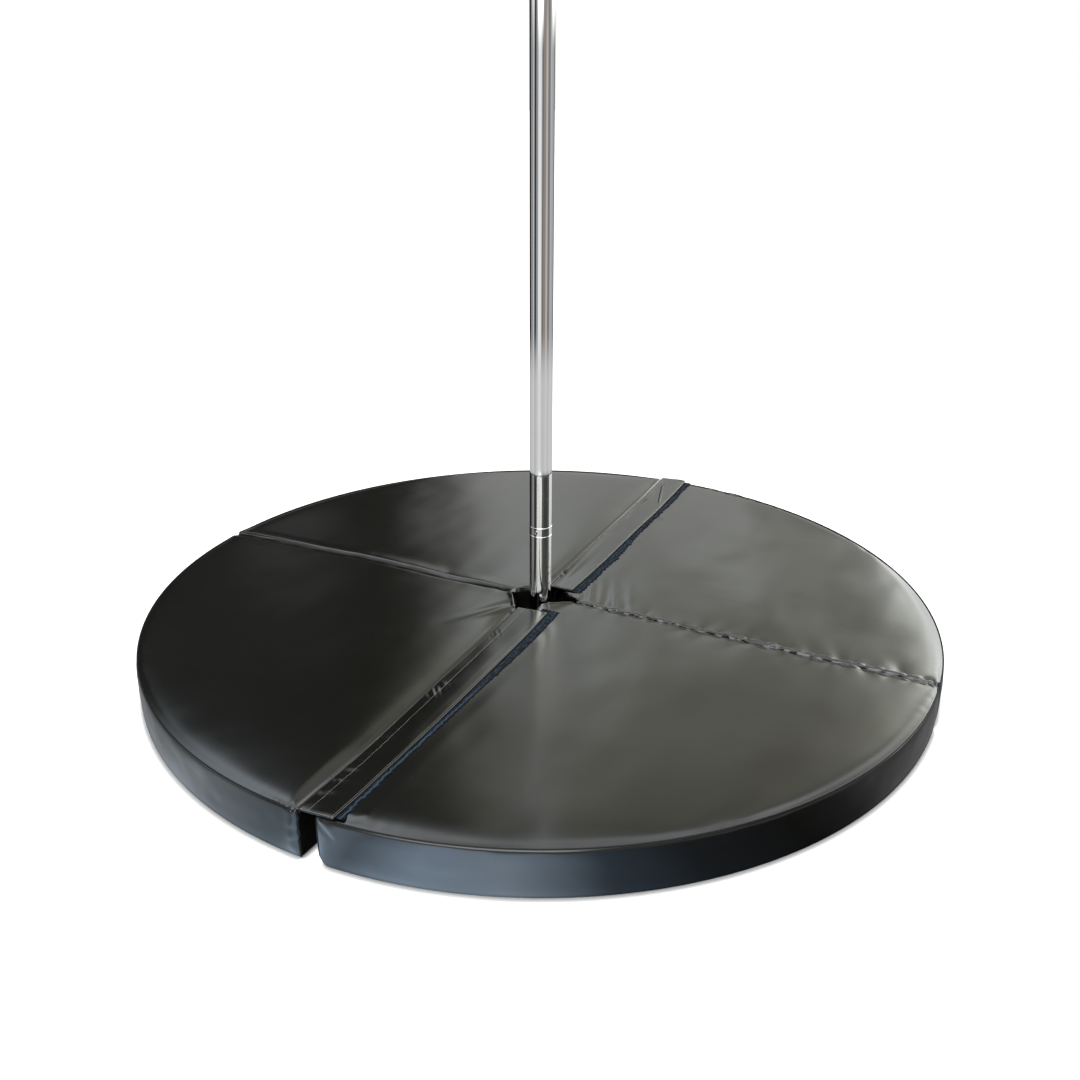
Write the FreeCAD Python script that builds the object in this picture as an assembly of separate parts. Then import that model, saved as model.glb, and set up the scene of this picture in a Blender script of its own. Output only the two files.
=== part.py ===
import FreeCAD, Part
import math
import os

# Round folding crash mat in four quarters, closed round a spinning dance pole.
# Millimetres. The pole axis is Z and the floor is z = 0. The mat opens along Y,
# where two flaps close it, and each half folds along X.

# Mat
MAT_RADIUS = 750.0
PAD_HEIGHT = 87.5
CROWN = 2.2
BAND_BULGE = 1.5
CORNER_ROUND = 6.0
SPLIT_EDGE = 22.3
EDGE_BEVEL = 2.0
CREASE_GAP = 0.5
HOLE_REACH = 66.0
VINYL = 1.0
FOAM_CLEARANCE = 0.3
PAD_SECTIONS = 9

# Rim piping
WELT_RADIUS = 1.6
WELT_STAND = 0.8
WELT_CLEARANCE = 0.1

# Fold seam
FOLD_RISE = 1.9
FOLD_BEAD_RADIUS = 1.6
FOLD_LEAF_WIDTH = 12.0
FOLD_LEAF_TOP = 1.0
FOLD_LEAF_END = 10.0

# Closing flaps with hook and loop strips
FLAP_REACH = 42.0
FLAP_START = 55.0
FLAP_THICKNESS = 1.0
FLAP_END_INSET = 2.0
FLAP_BEAD_RADIUS = 0.9
FLAP_BEAD_INSET = 1.2
FLAP_TAPE_WIDTH = 10.0
FLAP_TAPE_TOP = 1.8
LOOP_TOP = 1.4
LOOP_EDGE = 60.0
LOOP_SETBACK = 2.7
HOOK_THICKNESS = 0.7
HOOK_WIDTH = 16.0
HINGE_CLEARANCE = 0.3

# Zips in the split faces
ZIP_DEPTH = 5.0
ZIP_HEIGHT = 44.0
ZIP_RECESS_HEIGHT = 22.0
ZIP_START = 110.0
ZIP_LENGTH = 580.0
ZIP_MARGIN = 4.0
ZIP_TAPE_WIDTH = 16.0
ZIP_TAPE_THICKNESS = 0.8
ZIP_CHAIN_WIDTH = 5.0
ZIP_CHAIN_THICKNESS = 1.4
ZIP_TOOTH_PITCH = 20.0
ZIP_TOOTH_GAP = 1.0
SLIDER_LENGTH = 14.0
SLIDER_WIDTH = 9.0
SLIDER_THICKNESS = 1.4
PULL_LENGTH = 24.0
PULL_WIDTH = 4.0
PULL_THICKNESS = 0.8
SLIDER_CLEARANCE = 0.2

# Pole
POLE_RADIUS = 21.0
TUBE_WALL = 2.0
POLE_HEIGHT = 2400.0
SEAT_CLEARANCE = 0.05
RUNNING_CLEARANCE = 0.3

# Foot and height adjuster
FOOT_PAD_RADIUS = 44.0
FOOT_PAD_THICKNESS = 4.0
BASE_PLATE_RADIUS = 42.0
BASE_PLATE_RIM = 5.0
BASE_PLATE_HEIGHT = 11.0
JACK_RADIUS = 10.0
JACK_TOP = 165.0
JACK_PITCH = 4.0
JACK_THREAD_DEPTH = 1.2
JACK_ROOT_LENGTH = 8.0
BASE_TUBE_BOTTOM = 16.5
JACK_NUT_HEIGHT = 30.0

# Spin bearing and spin lock
BASE_TUBE_TOP = 222.0
SPINDLE_PLUG_HEIGHT = 40.0
SPINDLE_RADIUS = 9.0
LOCK_COLLAR_RADIUS = 12.5
LOCK_RING_HEIGHT = 19.0
LOCK_RING_PROUD = 0.3
LOCK_RING_BORE = 15.5
LOCK_RING_NECK = 20.0
LOCK_SCREW_RADIUS = 2.5
LOCK_SCREW_LENGTH = 4.9
LOCK_SCREW_SETBACK = 0.6
HEX_SOCKET = 2.5
HEX_SOCKET_DEPTH = 2.2
BEARING_WIDTH = 14.0
BEARING_SPACING = 138.0
BALL_RADIUS = 2.6
BALL_COUNT = 9
RACE_WALL = 2.6
BALL_CLEARANCE = 0.05
SPINDLE_NUT_RADIUS = 13.0
SPINDLE_NUT_HEIGHT = 8.0
SPINDLE_TIP = 4.0

# Tube joint
TUBE_JOINT_HEIGHT = 1427.0
SPIGOT_LENGTH = 180.0
SPIGOT_WALL = 3.0
JOINT_SCREW_RADIUS = 3.0
JOINT_SCREW_LENGTH = 4.8

# Ceiling head
CEILING_PAD_RADIUS = 60.0
CEILING_PAD_THICKNESS = 10.0
CEILING_CUP_HEIGHT = 42.0
CEILING_CUP_WALL = 4.0
HEAD_GAP = 8.0
TOP_COLLAR_HEIGHT = 10.0
TOP_COLLAR_NECK = 16.0
HEAD_BUSH_HEIGHT = 20.0

Z = FreeCAD.Vector(0, 0, 1)
ORIGIN = FreeCAD.Vector(0, 0, 0)
FAR = 2000.0


def vec(x, y, z):
    return FreeCAD.Vector(x, y, z)


def box(x0, x1, y0, y1, z0, z1):
    return Part.makeBox(x1 - x0, y1 - y0, z1 - z0, vec(x0, y0, z0))


def rod(radius, z0, z1):
    return Part.makeCylinder(radius, z1 - z0, vec(0, 0, z0), Z)


def tube(outer, bore, z0, z1):
    return rod(outer, z0, z1).cut(rod(bore, z0 - 1, z1 + 1))


def turned(profile):
    """A solid turned about the pole axis from its (radius, height) outline."""
    points = [vec(r, 0, z) for r, z in profile]
    face = Part.Face(Part.makePolygon(points + points[:1]))
    return face.revolve(ORIGIN, Z, 360)


def save(name, shape):
    solids = shape.Solids
    if len(solids) == 1:
        shape = solids[0]
    shape.exportStep("parts/" + name + ".step")


# Quarter pads. Each is shaped in the quadrant x > 0, y > 0, and mirrored to its place.


def crown_at(angle):
    """Height of the crown along a radius, none at the two straight edges."""
    return CROWN * max(0.01, math.sin(2 * angle))


def pad_section(angle, inset):
    """The pad's outline on one radius: flat bottom, rounded band, crowned top."""
    side = MAT_RADIUS - BAND_BULGE - inset
    bottom = inset - EDGE_BEVEL
    top = PAD_HEIGHT - inset
    inner = HOLE_REACH / 2 + inset
    round_ = CORNER_ROUND - inset
    turn = round_ * (1 - math.sqrt(0.5))

    def at(r, z):
        return vec(r * math.cos(angle), r * math.sin(angle), z)

    start = at(inner, bottom)
    floor_end = at(side - round_, bottom)
    band_low = at(side, bottom + round_)
    band_high = at(side, top - round_)
    rim = at(side - round_, top)
    top_inner = at(inner, top)
    low_mid = at(side - turn, bottom + turn)
    band_mid = at(side + BAND_BULGE, (bottom + top) / 2)
    high_mid = at(side - turn, top - turn)
    top_mid = at((inner + side) / 2, top + crown_at(angle))
    return Part.Wire([
        Part.LineSegment(start, floor_end).toShape(),
        Part.Arc(floor_end, low_mid, band_low).toShape(),
        Part.Arc(band_low, band_mid, band_high).toShape(),
        Part.Arc(band_high, high_mid, rim).toShape(),
        Part.Arc(rim, top_mid, top_inner).toShape(),
        Part.LineSegment(top_inner, start).toShape(),
    ])


def quarter_pad(inset):
    """One quarter of the mat, drawn in all round by the inset."""
    overrun = math.radians(4)
    span = math.radians(90) + 2 * overrun
    angles = [i * span / (PAD_SECTIONS - 1) - overrun for i in range(PAD_SECTIONS)]
    pad = Part.makeLoft([pad_section(a, inset) for a in angles], True, False)
    split = SPLIT_EDGE + inset
    crease = CREASE_GAP + inset
    pad = pad.cut(box(-FAR, FAR, -FAR, FAR, -FAR, inset))
    pad = pad.cut(box(-FAR, split, -FAR, FAR, -FAR, FAR))
    pad = pad.cut(box(-FAR, FAR, -FAR, crease, -FAR, FAR))
    hole = box(-FAR, FAR, -FAR, HOLE_REACH / math.sqrt(2) + inset, -FAR, FAR)
    hole.rotate(ORIGIN, Z, -45)
    pad = pad.cut(hole)
    bevel = box(-FAR, 0, -FAR, FAR, -FAR, FAR)
    bevel.rotate(ORIGIN, vec(0, 1, 0), 45)
    bevel.translate(vec(split, 0, PAD_HEIGHT - inset - EDGE_BEVEL))
    pad = pad.cut(bevel)
    pad = pad.cut(zip_recess(inset))
    return pad.Solids[0]


def zip_recess(inset):
    """The long hollow in the split face that takes the zip, grown by the inset."""
    return box(
        SPLIT_EDGE - 1,
        SPLIT_EDGE + ZIP_DEPTH + inset,
        ZIP_START - ZIP_MARGIN - inset,
        ZIP_START + ZIP_LENGTH + ZIP_MARGIN + inset,
        ZIP_HEIGHT - ZIP_RECESS_HEIGHT / 2 - inset,
        ZIP_HEIGHT + ZIP_RECESS_HEIGHT / 2 + inset,
    )


def rim_welt(growth):
    """Piping let into the top corner of the rim, its middle a little outside it."""
    turn = CORNER_ROUND * (1 - math.sqrt(0.5))
    stand = WELT_STAND * math.sqrt(0.5)
    centre = vec(0, 0, PAD_HEIGHT - turn + stand)
    middle = MAT_RADIUS - BAND_BULGE - turn + stand
    ring = Part.makeTorus(middle, WELT_RADIUS + growth, centre, Z)
    return ring.common(box(SPLIT_EDGE, FAR, CREASE_GAP, FAR, 0, FAR))


def fold_z():
    return PAD_HEIGHT + FOLD_RISE


def fold_leaf(pad, with_bead):
    """Vinyl strip sewn along the crease, and the bead that the fold turns on."""
    near = 0.0 if with_bead else FOLD_BEAD_RADIUS + HINGE_CLEARANCE
    start = HOLE_REACH + FOLD_LEAF_END
    end = MAT_RADIUS - FOLD_LEAF_END
    top = PAD_HEIGHT + FOLD_LEAF_TOP
    leaf = box(start, end, max(near, HINGE_CLEARANCE), FOLD_LEAF_WIDTH, PAD_HEIGHT / 2, top)
    leaf = leaf.cut(pad)
    leaf = leaf.common(box(start, end, 0, FOLD_LEAF_WIDTH, PAD_HEIGHT - VINYL, top))
    if with_bead:
        bead = Part.makeCylinder(FOLD_BEAD_RADIUS, end - start, vec(start, 0, fold_z()), vec(1, 0, 0))
        leaf = leaf.fuse(bead)
    return leaf.removeSplitter()


def flap_axis_x():
    return SPLIT_EDGE + FLAP_BEAD_INSET


def flap_axis_z():
    return PAD_HEIGHT + LOOP_TOP + HOOK_THICKNESS + FLAP_THICKNESS / 2


def inside_rim(shape, inset):
    return shape.common(rod(MAT_RADIUS - inset, -FAR, FAR))


def flap_tape(pad):
    """Edge tape that holds the flap, with the bead it turns on; kept in x > 0."""
    axis = flap_axis_x()
    end = MAT_RADIUS - FLAP_END_INSET - CORNER_ROUND
    tape = box(SPLIT_EDGE, axis + FLAP_TAPE_WIDTH, FLAP_START, end, PAD_HEIGHT / 2, PAD_HEIGHT + FLAP_TAPE_TOP)
    tape = tape.cut(pad)
    tape = tape.common(box(0, FAR, 0, FAR, PAD_HEIGHT - EDGE_BEVEL - VINYL, FAR))
    bead = Part.makeCylinder(
        FLAP_BEAD_RADIUS, end - FLAP_START, vec(axis, FLAP_START, flap_axis_z()), vec(0, 1, 0)
    )
    return inside_rim(tape.fuse(bead).removeSplitter(), FLAP_END_INSET)


def flap():
    """The closing flap, in y > 0, from the left half's bead over the right half."""
    start = -flap_axis_x() + FLAP_BEAD_RADIUS + HINGE_CLEARANCE
    z = flap_axis_z() - FLAP_THICKNESS / 2
    return inside_rim(
        box(start, FLAP_REACH, FLAP_START, MAT_RADIUS, z, z + FLAP_THICKNESS), FLAP_END_INSET
    )


def hook_strip():
    top = flap_axis_z() - FLAP_THICKNESS / 2
    strip = box(
        FLAP_REACH - HOOK_WIDTH, FLAP_REACH, FLAP_START, MAT_RADIUS, top - HOOK_THICKNESS, top
    )
    return inside_rim(strip, FLAP_END_INSET + CORNER_ROUND)


def loop_strip(pad):
    strip = box(
        SPLIT_EDGE + LOOP_SETBACK,
        LOOP_EDGE,
        FLAP_START,
        MAT_RADIUS,
        PAD_HEIGHT / 2,
        PAD_HEIGHT + LOOP_TOP,
    )
    strip = inside_rim(strip, FLAP_END_INSET + CORNER_ROUND).cut(pad)
    return strip.common(box(0, FAR, 0, FAR, PAD_HEIGHT - VINYL, FAR))


def zip_strip():
    """Zip tape with its chain of teeth, on the floor of the recess."""
    back = SPLIT_EDGE + ZIP_DEPTH
    face = back - ZIP_TAPE_THICKNESS
    end = ZIP_START + ZIP_LENGTH
    half = ZIP_TAPE_WIDTH / 2
    chain_half = ZIP_CHAIN_WIDTH / 2
    tape = box(face, back, ZIP_START, end, ZIP_HEIGHT - half, ZIP_HEIGHT + half)
    chain = box(
        face - ZIP_CHAIN_THICKNESS, face, ZIP_START, end, ZIP_HEIGHT - chain_half, ZIP_HEIGHT + chain_half
    )
    gaps = []
    for i in range(1, int(ZIP_LENGTH / ZIP_TOOTH_PITCH)):
        y = ZIP_START + i * ZIP_TOOTH_PITCH
        gaps.append(box(0, face - ZIP_CHAIN_THICKNESS / 2, y, y + ZIP_TOOTH_GAP, 0, PAD_HEIGHT))
    return tape.fuse(chain.cut(Part.Compound(gaps))).removeSplitter()


def zip_slider():
    """Slider plate that rides over the chain, with its pull lying along it."""
    back = SPLIT_EDGE + ZIP_DEPTH - ZIP_TAPE_THICKNESS - ZIP_CHAIN_THICKNESS - SLIDER_CLEARANCE
    front = back - SLIDER_THICKNESS
    half = SLIDER_WIDTH / 2
    plate = box(
        front, back, ZIP_START, ZIP_START + SLIDER_LENGTH, ZIP_HEIGHT - half, ZIP_HEIGHT + half
    )
    pull_half = PULL_WIDTH / 2
    pull = box(
        front - PULL_THICKNESS,
        front,
        ZIP_START + PULL_WIDTH,
        ZIP_START + PULL_WIDTH + PULL_LENGTH,
        ZIP_HEIGHT - pull_half,
        ZIP_HEIGHT + pull_half,
    )
    return plate.fuse(pull).removeSplitter()


def placed(shape, side, end):
    """Mirror a piece from x > 0, y > 0 to the left half or the front quarter."""
    if side == "left":
        shape = shape.mirror(ORIGIN, vec(1, 0, 0))
    if end == "front":
        shape = shape.mirror(ORIGIN, vec(0, 1, 0))
    return shape


def make_mat():
    outer = quarter_pad(0)
    welt = rim_welt(0)
    cover = outer.cut(rim_welt(WELT_CLEARANCE)).cut(quarter_pad(VINYL))
    foam = quarter_pad(VINYL + FOAM_CLEARANCE)
    tape = flap_tape(outer)
    for side in ("left", "right"):
        for end in ("front", "rear"):
            quarter = side + "_" + end
            save(quarter + "_cover", placed(cover, side, end))
            save(quarter + "_foam", placed(foam, side, end))
            save(quarter + "_rim_welt", placed(welt, side, end))
            save(quarter + "_fold_leaf", placed(fold_leaf(outer, end == "front"), side, end))
            save(quarter + "_zip", placed(zip_strip(), side, end))
            save(quarter + "_zip_slider", placed(zip_slider(), side, end))
    for end in ("front", "rear"):
        save(end + "_flap", placed(flap(), "right", end))
        save(end + "_flap_tape", placed(tape, "left", end))
        save(end + "_hook_strip", placed(hook_strip(), "right", end))
        save(end + "_loop_strip", placed(loop_strip(outer), "right", end))


# Pole


def tube_bore():
    return POLE_RADIUS - TUBE_WALL


def make_foot():
    plate_bottom = FOOT_PAD_THICKNESS
    plate_top = plate_bottom + BASE_PLATE_HEIGHT
    save("foot_pad", turned([
        (0, 0),
        (FOOT_PAD_RADIUS - 1, 0),
        (FOOT_PAD_RADIUS, 1),
        (FOOT_PAD_RADIUS, FOOT_PAD_THICKNESS),
        (0, FOOT_PAD_THICKNESS),
    ]))
    seat = JACK_RADIUS + SEAT_CLEARANCE
    root = plate_top - JACK_ROOT_LENGTH
    save("base_plate", turned([
        (0, plate_bottom),
        (BASE_PLATE_RADIUS, plate_bottom),
        (BASE_PLATE_RADIUS, plate_bottom + BASE_PLATE_RIM),
        (POLE_RADIUS + 2, plate_top),
        (seat, plate_top),
        (seat, root),
        (0, root),
    ]))
    outline = [(0, root), (JACK_RADIUS, root), (JACK_RADIUS, plate_top + JACK_PITCH)]
    z = plate_top + JACK_PITCH
    while z + JACK_PITCH < JACK_TOP:
        outline.append((JACK_RADIUS - JACK_THREAD_DEPTH, z + JACK_PITCH / 2))
        outline.append((JACK_RADIUS, z + JACK_PITCH))
        z += JACK_PITCH
    outline += [(JACK_RADIUS, JACK_TOP), (0, JACK_TOP)]
    save("jack_screw", turned(outline))


def make_riser():
    """The fixed lower tube, its jack nut, and the spindle that the pole turns on."""
    press = tube_bore() - SEAT_CLEARANCE
    plug_bottom = BASE_TUBE_TOP - SPINDLE_PLUG_HEIGHT
    save("base_tube", tube(POLE_RADIUS, tube_bore(), BASE_TUBE_BOTTOM, BASE_TUBE_TOP))
    save("jack_nut", tube(
        press,
        JACK_RADIUS + RUNNING_CLEARANCE,
        BASE_TUBE_BOTTOM,
        BASE_TUBE_BOTTOM + JACK_NUT_HEIGHT,
    ))
    save("spindle_plug", tube(press, SPINDLE_RADIUS + SEAT_CLEARANCE, plug_bottom, BASE_TUBE_TOP))
    shoulder = bearing_bottom()
    top = shoulder + BEARING_SPACING + BEARING_WIDTH
    tip = top + SPINDLE_NUT_HEIGHT + SPINDLE_TIP
    save("spindle", turned([
        (0, plug_bottom),
        (SPINDLE_RADIUS, plug_bottom),
        (SPINDLE_RADIUS, BASE_TUBE_TOP),
        (LOCK_COLLAR_RADIUS, BASE_TUBE_TOP),
        (LOCK_COLLAR_RADIUS, shoulder),
        (SPINDLE_RADIUS, shoulder),
        (SPINDLE_RADIUS, tip - 1),
        (SPINDLE_RADIUS - 1, tip),
        (0, tip),
    ]))
    save("spindle_nut", hexagon(SPINDLE_NUT_RADIUS, top, top + SPINDLE_NUT_HEIGHT).cut(
        rod(SPINDLE_RADIUS + SEAT_CLEARANCE, 0, POLE_HEIGHT)
    ))


def hexagon(radius, z0, z1):
    points = [
        vec(radius * math.cos(math.radians(60 * i)), radius * math.sin(math.radians(60 * i)), z0)
        for i in range(7)
    ]
    return Part.Face(Part.makePolygon(points)).extrude(vec(0, 0, z1 - z0))


def bearing_bottom():
    return BASE_TUBE_TOP + LOCK_RING_HEIGHT + LOCK_RING_NECK


def make_bearing(name, z):
    """Ball bearing on the spindle: inner race, ring of balls, outer race."""
    inner = SPINDLE_RADIUS + SEAT_CLEARANCE
    outer = tube_bore() - SEAT_CLEARANCE
    orbit = (inner + outer) / 2
    middle = z + BEARING_WIDTH / 2
    groove = Part.makeTorus(orbit, BALL_RADIUS + BALL_CLEARANCE, vec(0, 0, middle), Z)
    top = z + BEARING_WIDTH
    save(name + "_inner_race", tube(inner + RACE_WALL, inner, z, top).cut(groove))
    save(name + "_outer_race", tube(outer, outer - RACE_WALL, z, top).cut(groove))
    balls = []
    for i in range(BALL_COUNT):
        turn = 2 * math.pi * i / BALL_COUNT
        centre = vec(orbit * math.cos(turn), orbit * math.sin(turn), middle)
        balls.append(Part.makeSphere(BALL_RADIUS, centre))
    save(name + "_balls", Part.Compound(balls))


def lock_screw(direction):
    """Hex socket grub screw, set back a little in the lock ring."""
    outer = POLE_RADIUS + LOCK_RING_PROUD - LOCK_SCREW_SETBACK
    z = BASE_TUBE_TOP + RUNNING_CLEARANCE + LOCK_RING_HEIGHT / 2
    screw = rod(LOCK_SCREW_RADIUS, outer - LOCK_SCREW_LENGTH, outer)
    screw = screw.cut(hexagon(HEX_SOCKET / math.sqrt(3), outer - HEX_SOCKET_DEPTH, outer + 1))
    screw.rotate(ORIGIN, vec(1, 0, 0), 90 * direction)
    screw.translate(vec(0, 0, z))
    return screw


def make_mast():
    bore = tube_bore()
    press = bore - SEAT_CLEARANCE
    ring_bottom = BASE_TUBE_TOP + RUNNING_CLEARANCE
    ring_top = BASE_TUBE_TOP + LOCK_RING_HEIGHT
    neck_top = bearing_bottom()
    outer = POLE_RADIUS + LOCK_RING_PROUD
    ring = turned([
        (LOCK_RING_BORE, ring_bottom),
        (outer - LOCK_RING_PROUD, ring_bottom),
        (outer, ring_bottom + LOCK_RING_PROUD),
        (outer, ring_top - LOCK_RING_PROUD),
        (outer - LOCK_RING_PROUD, ring_top),
        (press, ring_top),
        (press, neck_top),
        (LOCK_RING_BORE, neck_top),
    ])
    screw_hole = rod(LOCK_SCREW_RADIUS + SEAT_CLEARANCE, -POLE_RADIUS * 2, POLE_RADIUS * 2)
    screw_hole.rotate(ORIGIN, vec(1, 0, 0), 90)
    screw_hole.translate(vec(0, 0, ring_bottom + LOCK_RING_HEIGHT / 2))
    save("lock_ring", ring.cut(screw_hole))
    save("front_lock_screw", lock_screw(1))
    save("rear_lock_screw", lock_screw(-1))
    make_bearing("lower_bearing", neck_top)
    make_bearing("upper_bearing", neck_top + BEARING_SPACING)
    spacer_bore = bore - RACE_WALL
    save("bearing_spacer", tube(
        press, spacer_bore, neck_top + BEARING_WIDTH, neck_top + BEARING_SPACING
    ))
    head_bottom = POLE_HEIGHT - CEILING_PAD_THICKNESS - CEILING_CUP_HEIGHT - HEAD_GAP
    tube_top = head_bottom - TOP_COLLAR_HEIGHT
    spigot_bottom = TUBE_JOINT_HEIGHT - SPIGOT_LENGTH / 2
    spigot_top = TUBE_JOINT_HEIGHT + SPIGOT_LENGTH / 2
    spigot = tube(press, press - SPIGOT_WALL, spigot_bottom, spigot_top)
    lower = tube(POLE_RADIUS, bore, ring_top, TUBE_JOINT_HEIGHT)
    upper = tube(POLE_RADIUS, bore, TUBE_JOINT_HEIGHT, tube_top)
    screws = []
    for z in (spigot_bottom + SPIGOT_LENGTH / 4, spigot_top - SPIGOT_LENGTH / 4):
        for radius, keep in ((JOINT_SCREW_RADIUS + SEAT_CLEARANCE, False), (JOINT_SCREW_RADIUS, True)):
            screw = rod(radius, POLE_RADIUS - JOINT_SCREW_LENGTH, POLE_RADIUS + (0 if keep else 1))
            if keep:
                screw = screw.cut(hexagon(HEX_SOCKET, POLE_RADIUS - HEX_SOCKET_DEPTH, FAR))
            screw.rotate(ORIGIN, vec(1, 0, 0), -90)
            screw.translate(vec(0, 0, z))
            if keep:
                screws.append(screw.common(rod(POLE_RADIUS, 0, POLE_HEIGHT)))
            else:
                spigot = spigot.cut(screw)
                lower = lower.cut(screw)
                upper = upper.cut(screw)
    save("joint_spigot", spigot)
    save("joint_screws", Part.Compound(screws))
    save("lower_tube", lower)
    save("upper_tube", upper)
    neck_bottom = tube_top - TOP_COLLAR_NECK
    bush_bore = SPINDLE_RADIUS + RUNNING_CLEARANCE
    collar_bore = LOCK_COLLAR_RADIUS
    save("top_collar", turned([
        (collar_bore, neck_bottom),
        (press, neck_bottom),
        (press, tube_top),
        (POLE_RADIUS, tube_top),
        (POLE_RADIUS, head_bottom - 1),
        (POLE_RADIUS - 1, head_bottom),
        (collar_bore, head_bottom),
    ]))
    save("head_bush", tube(
        collar_bore - SEAT_CLEARANCE, bush_bore, head_bottom - HEAD_BUSH_HEIGHT, head_bottom
    ))


def make_head():
    """Ceiling cup on its own spindle, which turns in the bush at the pole's top."""
    pad_bottom = POLE_HEIGHT - CEILING_PAD_THICKNESS
    cup_bottom = pad_bottom - CEILING_CUP_HEIGHT
    head_bottom = cup_bottom - HEAD_GAP
    washer = cup_bottom - HEAD_GAP + RUNNING_CLEARANCE
    save("head_spindle", turned([
        (0, head_bottom - HEAD_BUSH_HEIGHT),
        (SPINDLE_RADIUS, head_bottom - HEAD_BUSH_HEIGHT),
        (SPINDLE_RADIUS, washer),
        (LOCK_COLLAR_RADIUS, washer),
        (LOCK_COLLAR_RADIUS, cup_bottom),
        (0, cup_bottom),
    ]))
    wall = CEILING_CUP_WALL
    save("ceiling_cup", turned([
        (0, cup_bottom),
        (POLE_RADIUS, cup_bottom),
        (POLE_RADIUS + wall, cup_bottom + CEILING_CUP_HEIGHT / 2),
        (CEILING_PAD_RADIUS, pad_bottom - wall),
        (CEILING_PAD_RADIUS, pad_bottom),
        (0, pad_bottom),
    ]))
    save("ceiling_pad", turned([
        (0, pad_bottom),
        (CEILING_PAD_RADIUS - wall / 2, pad_bottom),
        (CEILING_PAD_RADIUS - wall / 2, POLE_HEIGHT - 1),
        (CEILING_PAD_RADIUS - wall / 2 - 1, POLE_HEIGHT),
        (0, POLE_HEIGHT),
    ]))


os.makedirs("parts", exist_ok=True)
make_mat()
make_foot()
make_riser()
make_mast()
make_head()
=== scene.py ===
"""Folding crash mat closed round the foot of a spinning pole, dressed over its CAD frame."""
import math
import random

import bmesh
import bpy
import numpy as np
from mathutils import Matrix, Vector, noise


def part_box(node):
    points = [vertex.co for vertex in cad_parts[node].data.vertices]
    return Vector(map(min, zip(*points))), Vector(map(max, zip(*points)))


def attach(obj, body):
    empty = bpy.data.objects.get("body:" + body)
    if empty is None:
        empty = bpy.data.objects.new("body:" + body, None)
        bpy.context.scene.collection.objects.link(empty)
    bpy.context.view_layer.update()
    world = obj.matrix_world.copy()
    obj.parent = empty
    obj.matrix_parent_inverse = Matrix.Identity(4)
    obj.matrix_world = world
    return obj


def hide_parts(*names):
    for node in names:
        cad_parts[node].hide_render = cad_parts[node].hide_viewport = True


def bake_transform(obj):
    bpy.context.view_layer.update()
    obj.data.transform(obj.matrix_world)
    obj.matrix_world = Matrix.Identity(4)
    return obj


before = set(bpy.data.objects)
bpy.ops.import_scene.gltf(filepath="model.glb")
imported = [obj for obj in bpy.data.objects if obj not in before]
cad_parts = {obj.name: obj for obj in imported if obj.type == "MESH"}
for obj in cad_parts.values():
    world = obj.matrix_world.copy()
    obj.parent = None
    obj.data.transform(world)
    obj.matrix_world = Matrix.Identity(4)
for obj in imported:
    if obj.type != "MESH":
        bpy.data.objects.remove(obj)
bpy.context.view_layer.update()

bl_info = {
    "name": "Folding Pole Mat",
    "version": (1, 0, 0),
    "blender": (4, 5, 0),
    "location": "3D View > Sidebar > Pole Mat",
    "description": "Vinyl quarters, flaps, piping and chrome for a folding mat round a pole",
    "category": "Object",
}

# Side (left -1, right 1) and end (front -1, rear 1) of each quarter.
QUARTERS = {
    "left_front": (-1, -1),
    "left_rear": (-1, 1),
    "right_front": (1, -1),
    "right_rear": (1, 1),
}

# Sewn crease of each side: distance out from the hole, and how far the seam drifts to the rear.
CREASE_LINES = {
    -1: (
        (0.06, -0.0005), (0.13, 0.0005), (0.2, 0.001), (0.3, 0.0035), (0.37, 0.0045), (0.43, 0.0065),
        (0.48, 0.004), (0.6, 0.0015), (0.74, -0.003),
    ),
    1: (
        (0.057, 0.0115), (0.12, 0.0095), (0.2, 0.0085), (0.29, 0.0055), (0.38, 0.0005),
        (0.43, -0.001), (0.5, -0.003), (0.56, -0.0035), (0.64, -0.0045), (0.7, -0.006), (0.75, -0.006),
    ),
}

# Split edge of each quarter: distance along the split, and the pad's edge from the mat's middle.
SPLIT_LINES = {
    "left_front": (
        (0.056, 0.0216), (0.1, 0.0200), (0.15, 0.0186), (0.2, 0.0170), (0.35, 0.0164), (0.45, 0.0160),
        (0.5, 0.0158), (0.55, 0.0152), (0.6, 0.0154), (0.65, 0.0167), (0.7, 0.0182), (0.75, 0.02),
    ),
    "left_rear": ((0.045, 0.0124), (0.3, 0.0118), (0.6, 0.0127), (0.75, 0.0160)),
    "right_front": ((0.05, 0.0100), (0.075, 0.0130), (0.11, 0.0218), (0.66, 0.0218), (0.745, 0.0095)),
    "right_rear": ((0.05, 0.0218), (0.75, 0.0218)),
}

# Hole edge of each quarter, from its crease to its split, as (across, along) from the pole.
HOLE_EDGES = {
    "left_front": ((0.058, None), (0.051, 0.009), (0.0395, 0.028), (0.0218, 0.057)),
    "left_rear": ((0.059, None), (0.0455, 0.021), (0.03, 0.034), (0.0124, 0.045)),
    "right_front": (
        (0.06, None), (0.048, -0.003), (0.036, 0.0075), (0.021, 0.0165), (0.0125, 0.027), (0.01, 0.05),
    ),
    "right_rear": ((0.0635, None), (0.0645, 0.03), (0.0605, 0.045), (0.04, 0.0505), (0.0218, 0.053)),
}

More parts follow.
